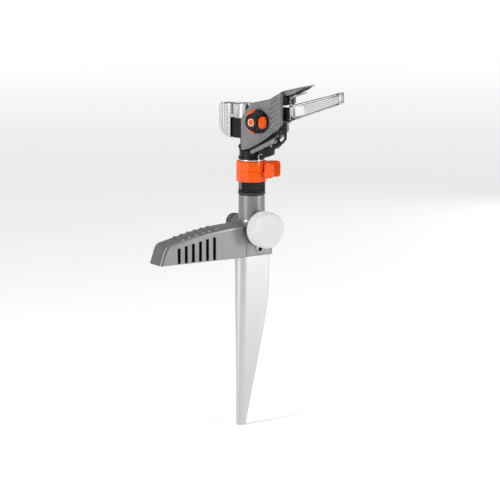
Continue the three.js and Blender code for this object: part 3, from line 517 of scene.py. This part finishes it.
def make_world():
    """White behind the object, and a softer light that falls off towards the camera."""
    world = bpy.data.worlds.new("studio")
    world.use_nodes = True
    tree = world.node_tree
    soft, seen = tree.nodes["Background"], tree.nodes.new("ShaderNodeBackground")
    for shader in (soft, seen):
        shader.inputs["Color"].default_value = (1, 1, 1, 1)
    seen.inputs["Strength"].default_value = 0.8
    level = fading(tree, "Generated", "DOT_PRODUCT", (0.35, 0.93), (0.32, 0.03), BACK)
    tree.links.new(level, soft.inputs["Strength"])
    path, mix = tree.nodes.new("ShaderNodeLightPath"), tree.nodes.new("ShaderNodeMixShader")
    tree.links.new(path.outputs["Is Camera Ray"], mix.inputs[0])
    tree.links.new(soft.outputs[0], mix.inputs[1])
    tree.links.new(seen.outputs[0], mix.inputs[2])
    tree.links.new(mix.outputs[0], tree.nodes["World Output"].inputs["Surface"])
    bpy.context.scene.world = world
    bpy.context.scene.view_settings.view_transform = "Standard"


def make_floor():
    """A pale floor that grows brighter with distance, so that it meets the white behind it."""
    mesh = bpy.data.meshes.new("floor")
    side = FLOOR_HALF
    mesh.from_pydata([(-side, -side, 0), (side, -side, 0), (side, side, 0), (-side, side, 0)], [],
                     [(0, 1, 2, 3)])
    floor = add_object("floor", mesh)
    floor.location.z = FLOOR_Z
    pale = Nodes("floor")
    pale.link(pale.blend(pale.noise(4), (0.88, 0.88, 0.88), (0.86, 0.86, 0.86)),
              pale.shader.inputs["Base Color"])
    pale.shader.inputs["Roughness"].default_value = 0.9
    pale.shader.inputs["Emission Color"].default_value = (1, 1, 1, 1)
    glow = fading(pale.tree, "Object", "LENGTH", (0.4, 4.5), (0.27, 0.66))
    pale.link(glow, pale.shader.inputs["Emission Strength"])
    mesh.materials.append(pale.material)


# ---------- spike ----------

SPIKE_FOOT, SPIKE_HEAD = -173, 16.5
SPINE = (-10.4, 0)                  # centre of the rounded spine
WING_X = 16.0                       # free edge of both wings
OUTER, INNER = 8.0, 5.6             # half widths of the channel
WING_CURVE = [(18, -14), (16, -60), (4, -105), (-9.2, -174)]


def wing_edge(z):
    """Where the wings end at this height."""
    if z > WING_CURVE[0][1]:
        return WING_X
    low, high = 0.0, 1.0
    for _ in range(30):
        mid = (low + high) / 2
        edge = curve_point(WING_CURVE, mid)
        low, high = (mid, high) if edge.y > z else (low, mid)
    return min(WING_X, edge.x)


def make_spike():
    """A pressed channel with rounded rims that gets narrower towards its point."""
    sections = []
    rim = (OUTER - INNER) / 2
    for row in range(96):
        z = SPIKE_HEAD + (SPIKE_FOOT - SPIKE_HEAD) * row / 95
        narrow = 1 - 0.58 * (max(0, -z) / -SPIKE_FOOT) ** 1.2
        end = wing_edge(z) - rim
        ahead = [(end - SPINE[0]) * k / 8 for k in range(1, 9)]
        ring = arc((end, -INNER - rim), rim, -90, 90, 6) + [(end - d, -INNER) for d in ahead]
        ring += arc(SPINE, INNER, -90, -270, 20) + [(SPINE[0] + d, INNER) for d in ahead]
        ring += arc((end, INNER + rim), rim, -90, 90, 6) + [(end - d, OUTER) for d in ahead]
        ring += arc(SPINE, OUTER, 90, 270, 20) + [(SPINE[0] + d, -OUTER) for d in ahead[:-1]]
        sections.append([(x, y * narrow, z) for x, y in ring])
    piece("spike_sheet", loft(sections), "base", "spike_metal", ["spike"])


# ---------- base ----------

def make_base():
    outline = soften([(-14.9, -13), (17.8, -13), (17.8, 13), (-14.9, 13)], [1.5, 5, 5, 1.5], steps=8)
    riser = lathe(soften([
        (13.25, 20), (14.2, 30.5), (14.3, 34.6), (13.35, 36.6), (13.15, 60.3), (12.5, 61), (9, 61), (9, 20),
    ], [0, 2, 0.8, 1, 0.3, 0.3, 0.3, 0], steps=3), 120)
    block = combine(plate([outline], 0, 33, 1.3, "z", 5), [
        rod((0, 0, 20.5), (0, 0, 40), 9, 64),
        pin((0, INLET_Z), -20, 20, 8.9, 64),
        pin(SPIKE_SCREW, -20, 20, 2.3, 32),
    ])
    boss = soften([(2.3, -13.3), (5.2, -13.3), (5.8, -12.9), (5.8, -12.4), (2.3, -12.4)], 0.2)
    boss = lathe(boss, 48, "y", (SPIKE_SCREW[0], 0, SPIKE_SCREW[1]))
    tenon = box((-20, -14), (-11, 11), (0.4, 29.6), 0.6)
    piece("base_moulding", join(block, riser, boss, tenon), "base", "housing", ["base_housing"])


PEDAL_COUNT = 6                     # slots on each side, and ribs on top
PEDAL_TOP = [(-14.9, 31.8), (-50, 31.8), (-70, 26.2), (-100.6, 19.9)]


def pedal_outline(heel, wall, foot):
    """The pedal's side view, drawn in by a wall's thickness."""
    top = [(x, z - wall) for x, z in PEDAL_TOP]
    brow = (top[3][0] + wall * 0.7, top[3][1])
    line = [(heel, foot), (heel, top[0][1])]
    line += bezier([(heel, top[0][1]), top[1], top[2], brow], 40)
    line += bezier([brow, (-104.6 + wall, 18.8 - wall), (-106.6 + wall, 14.2)], 8)
    line += [(-112.4 + wall, foot)]
    return line


def pedal_top(x):
    """The height of the pedal's top."""
    return min(bezier(PEDAL_TOP, 80), key=lambda p: abs(p[0] - x))[1]


def pedal_taper(point):
    """Narrows the pedal towards its toe."""
    along = max(0.0, (point[0] + 14.9) / -97.5)
    return (point[0], point[1] * (1 - 0.16 * along), point[2])


def make_pedal():
    shell = plate([pedal_outline(-12.2, 0, -2.6)], -13.8, 13.8, 2.6, "y", 6, pedal_taper)
    tools = [
        box((-15.2, 0), (-20, 20), (-5, 40)),
        box((-130, 0), (-20, 20), (-5, 0)),
        plate([pedal_outline(-23.2, 2.4, -4)], -12.6, 12.6, 1.2, "y", 3, pedal_taper),
        box((-20.6, -10), (-11.6, 11.6), (-5, 30.3)),
    ]
    for i in range(PEDAL_COUNT):
        x = -51.3 - 7.95 * i
        top = pedal_top(x) - 6
        slot = soften([(x - 1.7, 0.8), (x + 1.7, 0.8), (x + 1.7, top), (x - 1.7, top)], 0.4)
        tools.append(plate([slot], -20, 20, 0))
    shell = combine(shell, tools)
    ribs = []
    for i in range(PEDAL_COUNT):
        x = -46.4 - 7.6 * i
        z = pedal_top(x) - 0.5
        ribs.append(pin((x, z), -10.2, 10.2, 2.0, dome=1.8))
    # A black sheet inside the pedal that paints the shade seen through its slots.
    slot_shade_sheet = combine(plate([pedal_outline(-44, 3.0, 0.3)], -10.8, 10.8, 0.3, "y", 2, pedal_taper),
                    [plate([pedal_outline(-45, 4.0, -1)], -9.8, 9.8, 0.2, "y", 2, pedal_taper)])
    piece("pedal_slot_shade_sheet", slot_shade_sheet, "base", "black_plastic", ["pedal_liner"])
    piece("pedal_moulding", join(shell, *ribs), "base", "housing", ["foot_pedal"], angle=30)


# ---------- hose line ----------

ORING_SETBACKS = (3.9, 8.5)         # from the nipple's end


def nipple_profile(end):
    """A hose nipple with a stop flange and two grooves, as a lathe profile."""
    line = [(5, 9.5), (8.6, 9.5), (8.6, 13.3), (10.4, 13.3), (10.4, 15.3), (8.4, 15.3)]
    for setback in reversed(ORING_SETBACKS):
        y = end - setback
        line += [(8.4, y - 1.4), (6.3, y - 1.4), (6.3, y + 1.4), (8.4, y + 1.4)]
    return soften(line + [(8.4, end - 1.4), (7.4, end), (5, end)], 0.3, steps=3)


def ring_profile(y):
    turns = [2 * math.pi * k / 14 for k in range(14)]
    return [(7.7 + 1.12 * math.cos(a), y + 1.12 * math.sin(a)) for a in turns]


def knurl(r, h, a):
    """Grip ribs round the cap's rim."""
    if r < 16.6:
        return r
    wave = max(0.0, math.cos(a * 44)) ** 0.5
    edge = min(1.0, max(0.0, (34.6 + h) / 2.4)) * min(1.0, max(0.0, (-17.9 - h) / 0.8))
    return r - 0.75 + 0.8 * wave * edge


def make_hose_line():
    flip = Matrix.Rotation(math.pi, 4, "Z")
    for name, end, turn in (("inlet", 37.5, None), ("outlet", 30.5, flip)):
        body = lathe(nipple_profile(end), 72, "y")
        piece(f"{name}_tail", placed(body, (0, 0, INLET_Z), turn), "base", "housing", [f"{name}_nipple"])
        for i, setback in enumerate(ORING_SETBACKS):
            ring = placed(lathe(ring_profile(end - setback), 72, "y"), (0, 0, INLET_Z), turn)
            piece(f"{name}_seal_{i + 1}", ring, "base", "seal_rubber", [f"{name}_oring_{i + 1}"])
    grid = (-2.4, -0.8, 0.8, 2.4)
    strainer = combine(lathe([(0, 22), (4.7, 22), (4.7, 36.6), (3.7, 36.6), (3.7, 23), (0, 23)], 48, "y"),
                       [pin((x, z), 20, 24, 0.45, 8) for x in grid for z in grid])
    piece("inlet_screen", placed(strainer, (0, 0, INLET_Z)), "base", "white_plastic", ["inlet_strainer"])
    cap = soften([
        (0, -32.7), (9.2, -32.7), (9.2, -17.6), (11.4, -17.6), (11.4, -32.7), (15.4, -32.7), (15.4, -17.6),
        (17.4, -17.6), (18, -18.4), (18, -24), (18, -29), (18, -31.2), (17.1, -33.5), (15.6, -34.75),
        (13.8, -35.2), (11, -35.25), (0, -34.9),
    ], [0, 0.3, 0.3, 0.3, 0.3, 0.3, 0.3, 0.3, 0.3, 0, 0, 0.4, 0.6, 0.8, 1, 1, 0], closed=False, steps=3)
    cap = placed(lathe(cap, 416, "y", shape=knurl), (0, 0, INLET_Z))
    piece("end_cap_moulding", cap, "cap", "cap", ["end_cap"], angle=50)


# ---------- bearing, rings and collar ----------

def make_bearing():
    hexagon = soften(polygon(6, 13.95, -109), 0.9, steps=4)
    tube = [(6, 50), (8.7, 50), (8.7, 63.9), (13.3, 63.9), (13.5, 64.2), (13.5, 65.2), (13.2, 65.5),
            (11, 65.5), (11, 73.4), (10.4, 73.4), (10.4, 94.4), (6, 94.4)]
    tube = lathe(soften(tube, 0.25, steps=2), 96)
    nut = plate([hexagon, circle(10.2)], 65.3, 73.6, 0.7, "z", 4)
    piece("bearing_fitting", join(tube, nut), "base", "black_plastic", ["bearing_nipple"])
    seal = soften([(9, 61.3), (13.7, 61.3), (13.7, 63.5), (9, 63.5)], 0.5, steps=3)
    piece("riser_gasket", lathe(seal, 96), "base", "seal_rubber", ["riser_seal"])
    washer = soften([(6.4, 94.7), (13.4, 94.7), (13.4, 96.3), (6.4, 96.3)], 0.35, steps=3)
    piece("retaining_ring", lathe(washer, 96), "base", "chrome", ["ring_retainer"])


def make_sector_ring(name, low, high, turn, tip, body, node):
    """A ten-sided ring with one tall tab that stops the head."""
    outline = soften(polygon(10, 15.5, -98), 1.1, steps=4)
    collar = plate([outline, circle(10.8)], low, high, 0.3, "z", 3)
    finger = soften([(15.9, 78), (tip, 78), (tip, 93.8), (15.9, 93.8)], [0.6, 3.8, 3.8, 2.2], steps=8)
    tab = plate([finger], -3, 3, 0.9, "y", 4)
    root = box((12, 18), (-2.9, 2.9), (max(low, 78.2) + 0.1, min(high, 93.6) - 0.1), 0.4)
    arm = placed(join(tab, root), turn=Matrix.Rotation(math.radians(turn), 4, "Z"))
    piece(name, join(collar, arm), body, "orange", [node])


# ---------- head ----------

COVER = [(-3.6, 105.4), (-3.8, 137.8), (9.4, 153.6), (32, 158.8), (47, 166.9), (46.5, 134)]


def cover_outline(points, radii):
    """Rounds a cover's corners and closes it with the curve of its lower edge."""
    steps = 5
    heel = (5.7, 107.5)
    curve = bezier([points[-1], (26, 115.8), heel], 24)
    corners = soften(points + [heel], radii + [0.4], steps=steps)
    return corners[:-steps - 1] + curve


def make_head_body():
    collar = lathe(soften([
        (5.9, 96.6), (13.6, 96.6), (13.6, 98.6), (12.4, 99.4), (12.4, 106.4), (13.3, 107.2), (13.3, 109.6),
        (12.2, 110.6), (5.9, 110.6),
    ], [0.3, 0.5, 0.5, 0.5, 0.5, 0.4, 0.4, 0.5, 0.3], steps=3), 120)
    collar = combine(collar, [box((-20, 20), y, (104.9, 112)) for y in ((-20, -8.7), (8.7, 20))])
    lower = [(-8, 104), (-8, 135.2), (37, 135.2), (37, 122.6)]
    lower += bezier([(37, 122.6), (25, 112.6), (8, 104.6)], 16)
    pocket, trip_bore = pin(VALVE, -20, -5.2, 4.2, 48), pin(TRIP_PIN, -20, 20, 1.8)
    core = combine(plate([lower], -8.6, 8.6, 0.5), [pocket, trip_bore, rod((0, 0, 95), (0, 0, 101), 5.9, 48)])
    rear = plate([soften([(-20.8, 116), (-20.8, 135.2), (-6, 135.2), (-6, 116)], 1.4)], -5.2, 5.2, 0.8)
    recess = box((-22, -19.9), (-3.4, 3.4), (118.5, 132.6), 0.4)
    rear = combine(rear, [recess])
    wall = [(5, 134), (12, 153.4), (32, 158), (40, 162), (46, 162.4), (46, 135.2), (38, 135.2), (38, 134)]
    wall = combine(plate([soften(wall, 0.6)], -8.6, -4, 0.4),
                   [pocket, box((40, 50), (-20, -3), (135, 152.9))])
    upper = [(11, 152.9), (13, 154.2), (32, 158.4), (40.4, 162.7), (47, 162.7), (47, 152.9)]
    upper = combine(plate([soften(upper, 0.8)], -8.6, 8.6, 0.6), [
        rod((42, 0, 155.2), (49, 0, 156.8), 2.2, 32), rod((43, 0, 159.2), (50, 0, 161.3), 2.0, 32),
    ])
    lug = plate([soften([(25.6, 118), (26.4, 108.6), (33.6, 108.6), (35, 122)], 2.4)], -2, 2, 0.4)
    body = join(collar, core, rear, wall, upper, combine(lug, [trip_bore]))
    piece("head_core", body, "head", "black_plastic", ["head_body"], HEAD)


def make_covers():
    near = combine(plate([cover_outline(COVER, [1.2, 3.5, 1.2, 3, 1.6, 1.6])], -13, -9, 0.9, steps=4),
                   [pin(VALVE, -20, 0, 4.4, 48)])
    panel = plate([soften([(33.4, 126), (33.2, 158.2), (46, 165.2), (45.6, 135)], 1.4)], -13.8, -12.5, 0.5)
    grooves = []
    for i in range(7):
        z = 129.5 + i * 4.9
        grooves.append(rod((34.7, -14, z), (44.5, -14, z + 7), 1.1, 12, dome=0.8))
    panel = combine(panel, grooves)
    rib = plate([soften([(32.5, 125.4), (32.3, 157.9), (33.3, 158.3), (33.4, 126)], 0.4)], -13.7, -12.6, 0.3)
    lip = [(5.6, 107.9), (5.4, 109.5)] + bezier([(5.4, 109.5), (25.4, 117.6), (45.6, 135.8)], 20)
    lip += [(46.6, 134.4)] + bezier([(46.6, 134.4), (26, 116), (5.6, 107.9)], 20)
    edge = plate([lip], -13.9, -12.4, 0.45)
    piece("near_cover", join(near, panel, rib, edge), "head", "cover_grey", ["side_cover_near"], HEAD)
    far = [(-3.6, 105.4), (-3.8, 132.8), (-1.5, 134.8), (37, 134.8), (37, 125.4)]
    curve = bezier([(37, 125.4), (24, 115), (5.7, 107.5)], 20)
    far = plate([soften(far, [1, 1.4, 1.4, 1.4, 0.4])[:-1] + curve], 9, 13, 0.9, steps=4)
    far = combine(far, [pin(axis, 0, 20, 1.6, 20) for axis in COVER_SCREWS])
    piece("far_cover", far, "head", "cover_grey", ["side_cover_far"], HEAD)
    top = soften([(11.5, 153.4), (13, 154.4), (32, 158.8), (46.4, 166.6), (46.4, 153.4)], 0.8)
    piece("far_top_cover", plate([top], 9, 12, 0.7, steps=4), "head", "cover_grey", ["top_cover_far"], HEAD)


# ---------- hammer arm ----------

VANE_START, VANE_BEND, VANE_LENGTH = 49.4, 96, 66


def arm_edge(x, low, high):
    """The height of a vane's edge between its two ends."""
    return low + (high - low) * (x - VANE_START) / VANE_LENGTH


def curl(x):
    """How far the vane's end bends sideways."""
    return -0.016 * max(0.0, x - VANE_BEND) ** 2


def make_arm():
    sections = []
    stations = [VANE_START + 46.6 * i / 10 for i in range(11)]
    stations += [VANE_BEND + 19.4 * i / 18 for i in range(1, 19)]
    for x in stations:
        low, high = arm_edge(x, 135.8, 159.6), arm_edge(x, 152.9, 171.2)
        mid = (low + high) / 2
        taper = min(1.0, (115.4 - x) / 4 + 0.8)
        low, high = mid + (low - mid) * taper, mid + (high - mid) * taper
        outline = soften([
            (-3.5, low), (3.5, low), (3.5, high), (-3.5, high), (-3.5, high - 2.2), (1.7, high - 2.2),
            (1.7, low + 2.2), (-3.5, low + 2.2),
        ], 0.9, steps=4)
        sections.append([(x, y + curl(x), z) for y, z in outline])
    window = soften([(52, 141.4), (51, 151), (62.6, 153.9), (65.4, 146)], 1.4)
    front = combine(loft(sections), [plate([window], -12, 12, 0)])
    root = plate([soften([(49.4, 136), (49.4, 152.7), (51, 153), (51, 136.6)], 0.3)], -3.4, 3.4, 0.3)
    bar = plate([soften([(-2.2, 136.8), (-2.2, 150.6), (50, 150.6), (50, 136.8)], 0.5)], -2.4, 2.4, 0.6)
    link = box((-22.1, -15.9), (-3.4, 3.4), (139, 150), 0.5)
    pivot = (ARM_PIVOT_X, 0, 0)
    hub = [(2.5, 144.5), (5.8, 144.5), (5.8, 136.4), (7.5, 136.4), (7.5, 151), (2.5, 151)]
    hub = lathe(soften(hub, 0.6, steps=4), 72, centre=pivot)
    lip = lathe(soften([(7.2, 148.6), (7.9, 148.8), (7.9, 150.4), (7.2, 150.7)], 0.2), 72, centre=pivot)
    end = soften([(114.3, 160.2), (115.4, 160.2), (115.4, 170.6), (114.3, 170.3)], 0.3)
    end = plate([end], curl(115) - 3.3, curl(115) + 3.3, 0.3)
    body = join(front, end, root, bar, link, hub, lip)
    piece("hammer_arm", body, "arm", "chrome", ["arm"], HEAD, angle=32)
    outline = [(-22.4, 150), (-34.6, 150)] + bezier([(-34.6, 150), (-36.8, 149.6), (-37, 146)], 6)
    outline += [(-37, 129.6)] + bezier([(-37, 129.6), (-35.6, 119.4), (-26, 116.2)], 14) + [(-22.4, 115.8)]
    grooves = [rod((-34.8 + 3.2 * i, 6.9 * side, 110), (-34.8 + 3.2 * i, 6.9 * side, 160), 0.95, 20)
               for i in range(4) for side in (-1, 1)]
    weight = combine(plate([outline], -6.5, 6.5, 0.9, steps=4), grooves)
    piece("balance_weight", weight, "arm", "chrome", ["counterweight"], HEAD, angle=32)


# ---------- knob ----------

INLAY_ANGLES = (0, 120, 240)
INLAY_LINE = [(12.4, -16.0), (12.5, -18.2), (11.6, -21), (9.9, -23.2), (8.4, -24.3)]
INLAY_DEPTH = 2.6


def knob_grip(r, h, a):
    """Three shallow finger flutes that start away from the knob's foot."""
    if r < 9.5 or h > -14:
        return r
    return r - 0.55 * max(0.0, math.cos(3 * a + math.pi)) ** 2


def knob_inlay(angle):
    """A shell on the knob's flank: an outer and an inner grid, closed round their rims."""
    points, faces = [], []
    across, along = 14, 8
    for depth in (0, INLAY_DEPTH):
        for v in range(along + 1):
            for k in range(across + 1):
                side = 2 * k / across - 1
                t = v / along * (1 - 0.42 * abs(side) ** 2.5)
                r, y = curve_point(INLAY_LINE, t)
                width = (6.2 - 0.5 * t) * (1 - 0.16 * (1 - t) ** 6)
                a = math.radians(angle) + side * math.asin(width / r)
                points.append((KNOB[0] + (r - depth) * math.cos(a), y, KNOB[2] - (r - depth) * math.sin(a)))
    row, layer = across + 1, (along + 1) * (across + 1)
    for v in range(along):
        for k in range(across):
            i = v * row + k
            faces.append((i, i + row, i + row + 1, i + 1))
            faces.append((layer + i, layer + i + 1, layer + i + row + 1, layer + i + row))
    rim = list(range(row)) + [v * row + across for v in range(1, along + 1)]
    rim += [along * row + k for k in range(across - 1, -1, -1)] + [v * row for v in range(along - 1, 0, -1)]
    for i, n in zip(rim, rim[1:] + rim[:1]):
        faces.append((i, n, n + layer, i + layer))
    return points, faces


def make_knob():
    wall = soften([(3.2, -13.4), (12, -13.4), (12, -15.5), (11.2, -19), (9.5, -22.6), (7.9, -25), (7.0, -25),
                   (6.7, -24.4), (3.2, -24.4)], [0.3, 0.5, 0.8, 3, 3, 0.9, 0.2, 0.2, 0.3], steps=5)
    shell = lathe(wall, 144, "y", KNOB, knob_grip)
    ring = soften([(3.9, -24.3), (5.1, -24.3), (5.1, -25.7), (3.9, -25.7)], 0.35, steps=3)
    shell = join(shell, lathe(ring, 72, "y", KNOB))
    piece("knob_shell", shell, "knob", "black_plastic", ["knob_body"], HEAD)
    lobes = []
    for i in range(96):
        a = 2 * math.pi * i / 96
        reach = 6.4 - 0.5 * max(0.0, math.cos(3 * a)) ** 1.4
        lobes.append((VALVE[0] + reach * math.cos(a), VALVE[1] + reach * math.sin(a)))
    face = plate([lobes, circle(5.0, VALVE)], -25.7, -24.2, 0.4)
    piece("knob_face_plate", face, "knob", "knob_grey", ["knob_face"], HEAD)
    dome = [(0, -24), (2.9, -24), (2.9, -25.9), (2.4, -26.3), (1.2, -26.5), (0, -26.55)]
    dome = lathe(soften(dome, 0.2, closed=False, steps=3), 64, "y", KNOB)
    piece("knob_centre", dome, "knob", "orange", ["knob_button"], HEAD)
    rim = soften([(2.9, -24), (3.75, -24), (3.75, -25.95), (2.95, -25.95)], 0.25, steps=3)
    piece("knob_centre_rim", lathe(rim, 64, "y", KNOB), "knob", "orange", [], HEAD, material=PALE_RIM)
    for i, angle in enumerate(INLAY_ANGLES):
        piece(f"knob_grip_{i + 1}", knob_inlay(angle), "knob", "orange", [f"knob_inlay_{i + 1}"], HEAD,
              angle=50, edge=0.7)


# ---------- flap and trip ----------

def make_flap():
    pitch = math.radians(14)
    c, s = math.cos(pitch), math.sin(pitch)

    def along(d, lift):
        """A point so far from the flap's pin along the flap, and above it."""
        return (FLAP_PIN[0] + d * c - lift * s, FLAP_PIN[1] + d * s + lift * c)

    top = soften([along(1, 0.8), along(2, 2.1), along(28.6, 1.9), along(28.6, 0.9), along(3, 0.8)], 0.3)
    top = plate([top], -8.2, 8.2, 0.35)
    side = [along(3.6, 1), along(3.6, -3), along(9, -3.4), along(19, -1.6), along(28, 1)]
    sides = [plate([soften(side, 0.8)], low, low + 1.2, 0.35) for low in (-8.2, 7.0)]
    rib = plate([soften([along(4, 1), along(4, -1.4), along(20, -0.2), along(26, 1)], 0.4)], -0.5, 0.5, 0.2)
    barrel = lathe(soften([(1.3, -8.2), (2, -8.2), (2, 8.2), (1.3, 8.2)], 0.25, steps=3), 48, "y",
                   (FLAP_PIN[0], 0, FLAP_PIN[1]))
    piece("flap_plate", join(top, *sides, rib, barrel), "flap", "cover_grey", ["deflector_flap"], HEAD)


def make_trip():
    tail = soften([
        (14.8, 100.2), (14.8, 102.6), (20, 108.2), (31, 115.6), (40, 117.6), (40, 112.6), (31.6, 108),
        (31, 103), (23, 100),
    ], 1.9)
    holes = [pin(TRIP_PIN, -20, 20, 1.8), pin(WIRE_PIVOT, -8, -2.9, 1.05, 20)]
    lever = combine(plate([tail], -6.9, -2.4, 0.7), holes)
    frame_line = soften([(37.9, 113.4), (37.9, 119), (41, 126), (41, 134.6), (48.4, 134.6), (47.9, 119.6),
                         (43.6, 115)], 1.4)
    gaps = [soften([(42.8, 130.2), (42.8, 132.2), (46.9, 132.2), (46.9, 130.2)], 0.5),
            soften([(39.4, 117.4), (42.4, 128.4), (47, 128.9), (46.6, 120.9), (43.2, 117)], 0.9)]
    piece("trip_moulding", join(lever, plate([frame_line, *gaps], -8.2, -4.6, 0.55)), "trip", "black_plastic",
          ["trip_lever"], HEAD)
    slat = soften([(8.6, 102.4), (7.6, 106.2), (35, 119.8), (40, 119.6), (40, 116), (36.6, 115.4)], 1.1)
    slat = combine(plate([slat], -12.6, -8.9, 0.8, steps=4), [rod((0, 0, 95), (0, 0, 112), 14.2, 96)])
    piece("trip_slat", slat, "trip", "cover_grey", ["trip_cover"], HEAD)
    clip = smooth_path([(41, -9.6, 123.6), (40.2, -10.5, 122.4), (38.6, -13.4, 120.6), (36.4, -13.4, 115.4)])
    sweep("trip_clip_wire", clip, 0.5, "trip", "steel", ["trip_clip"], HEAD)
    x, z = WIRE_PIVOT
    stop = smooth_path([(x, -4, z), (x, -6, z), (19.8, -7.9, 103), (17.6, -8, 102.6), (15.6, -8, 101.6),
                        (15, -8, 99.6), (15.2, -8, 92)])
    sweep("stop_wire", stop, 0.55, "wire", "steel", ["trip_wire"], HEAD)


def smooth_path(points, steps=6):
    """A Catmull-Rom line through the points."""
    ends = [Vector(points[0]) * 2 - Vector(points[1])] + [Vector(p) for p in points]
    ends += [Vector(points[-1]) * 2 - Vector(points[-2])]
    made = []
    for a, b, c, d in zip(ends, ends[1:], ends[2:], ends[3:]):
        for k in range(steps):
            t = k / steps
            m, n = (c - a) * 0.2, (d - b) * 0.2
            made.append(b * (2 * t ** 3 - 3 * t * t + 1) + m * (t ** 3 - 2 * t * t + t)
                        + c * (3 * t * t - 2 * t ** 3) + n * (t ** 3 - t * t))
    return made + [Vector(points[-1])]


# ---------- screws and pins ----------

def make_hardware():
    screw_line = (SPIKE_SCREW[0], 0, SPIKE_SCREW[1])
    screw = soften([
        (0, -4), (1.7, -4), (1.7, -12.2), (2.2, -13.6), (2.3, -14.8), (2.7, -15.3), (3.4, -15.1),
        (3.9, -14.2), (3.9, -13.3), (2, -13.3), (2, 17.6), (0, 17.6),
    ], 0.2, closed=False, steps=3)
    piece("cross_rivet", lathe(screw, 72, "y", screw_line), "base", "steel", ["spike_screw"])
    # A black plug in the rivet's hollow that paints the shade of its bore.
    core = lathe([(0, -4.2), (1.6, -4.2), (1.6, -12.8), (0, -12.8)], 32, "y", screw_line)
    piece("cross_rivet_bore_shade", core, "base", "black_plastic")
    nut = [(x + SPIKE_SCREW[0], z + SPIKE_SCREW[1]) for x, z in soften(polygon(6, 4.2, 0), 0.3)]
    nut = plate([nut, circle(2.1, SPIKE_SCREW, 30)], 13.3, 16.3, 0.35)
    piece("cross_nut", nut, "base", "steel", ["spike_nut"])
    for i, (x, z) in enumerate(COVER_SCREWS):
        head = [(0, 4.8), (1.3, 4.8), (1.3, 13.3), (2.6, 13.3), (2.6, 14.1), (1.7, 14.6), (0, 14.6)]
        head = lathe(soften(head, 0.2, closed=False, steps=3), 40, "y", (x, 0, z))
        head = combine(head, [box((x - 1.7, x + 1.7), (14.0, 16), (z - 0.28, z + 0.28)),
                              box((x - 0.28, x + 0.28), (14.0, 16), (z - 1.7, z + 1.7))])
        piece(f"cover_fixing_{i + 1}", head, "head", "steel", [f"cover_screw_{i + 1}"], HEAD)
    rivet = join(rod((-17.6, 0, RIVET_Z), (-37.6, 0, RIVET_Z), 1.3, 24),
                 rod((-37, 0, RIVET_Z), (-38.5, 0, RIVET_Z), 2.6, 40, dome=0.7))
    piece("weight_rivet", rivet, "arm", "steel", ["counterweight_rivet"], HEAD)
    pivot = rod((ARM_PIVOT_X, 0, 124.4), (ARM_PIVOT_X, 0, 150.8), 2.2, 40, dome=0.4)
    piece("arm_pivot", pivot, "head", "steel", ["arm_pivot_pin"], HEAD)
    turns, steps = 4, 160
    spring = []
    for k in range(steps + 1):
        a = 2 * math.pi * turns * k / steps
        spring.append((ARM_PIVOT_X + 4.2 * math.cos(a), 4.2 * math.sin(a), 137.4 + 6 * k / steps))
    sweep("arm_coil", spring, 0.55, "head", "steel", ["arm_spring"], HEAD)
    piece("flap_axle", pin(FLAP_PIN, -10.8, 10, 1, 32, dome=0.3), "head", "steel", ["flap_pin"], HEAD)
    trip = join(pin(TRIP_PIN, -7.5, 3, 1.5, 32, dome=0.3), pin(TRIP_PIN, 2.4, 3.8, 2.6, 40, dome=0.5))
    piece("trip_axle", trip, "head", "steel", ["trip_pin"], HEAD)
    rise = math.radians(12.5)
    mouth = [Vector((47 + d * math.cos(rise), 0, 156.3 + d * math.sin(rise))) for d in (-3.7, 2.4, -9, 9)]
    jet = combine(rod(mouth[0], mouth[1], 1.9, 48, dome=0.3), [rod(mouth[2], mouth[3], 1.2, 32)])
    piece("nozzle_tip", jet, "head", "chrome", ["nozzle"], HEAD)
    root, neck, tip = Vector((43, 0, 159.2)), Vector((49, 0, 161)), Vector((68.9, 0, 166.9))
    needle = join(rod(root, neck, 1.7, 32), rod(root.lerp(neck, 0.95), tip, 1.7, 32, far_radius=0.5),
                  rod(root.lerp(neck, 0.9), neck.lerp(tip, 0.03), 2.2, 32, dome=0.3))
    piece("jet_needle_tip", needle, "head", "steel", ["jet_needle"], HEAD)


# ---------- what stays as it was packed ----------

def dress_frame():
    """Gives the remaining CAD nodes their material and merges their flat faces."""
    slots = {row["node"]: row["material_slot"] for row in frame["record"]["subparts"]}
    for name, obj in frame["nodes"].items():
        if obj.hide_render:
            continue
        obj.data.materials.clear()
        obj.data.materials.append(MATERIALS[slots[name]])
        merge = obj.modifiers.new("flats", "DECIMATE")
        merge.decimate_type, merge.angle_limit = "DISSOLVE", math.radians(1)


make_camera()
make_lights()
make_world()
make_floor()
make_spike()
make_base()
make_pedal()
make_hose_line()
make_bearing()
make_sector_ring("lower_stop_ring", 74, 84.34, -64, 24.5, "lower_ring", "lower_sector_ring")
make_sector_ring("upper_stop_ring", 84.46, 94.3, -30, 28.5, "upper_ring", "upper_sector_ring")
make_head_body()
make_covers()
make_arm()
make_knob()
make_flap()
make_trip()
make_hardware()
dress_frame()
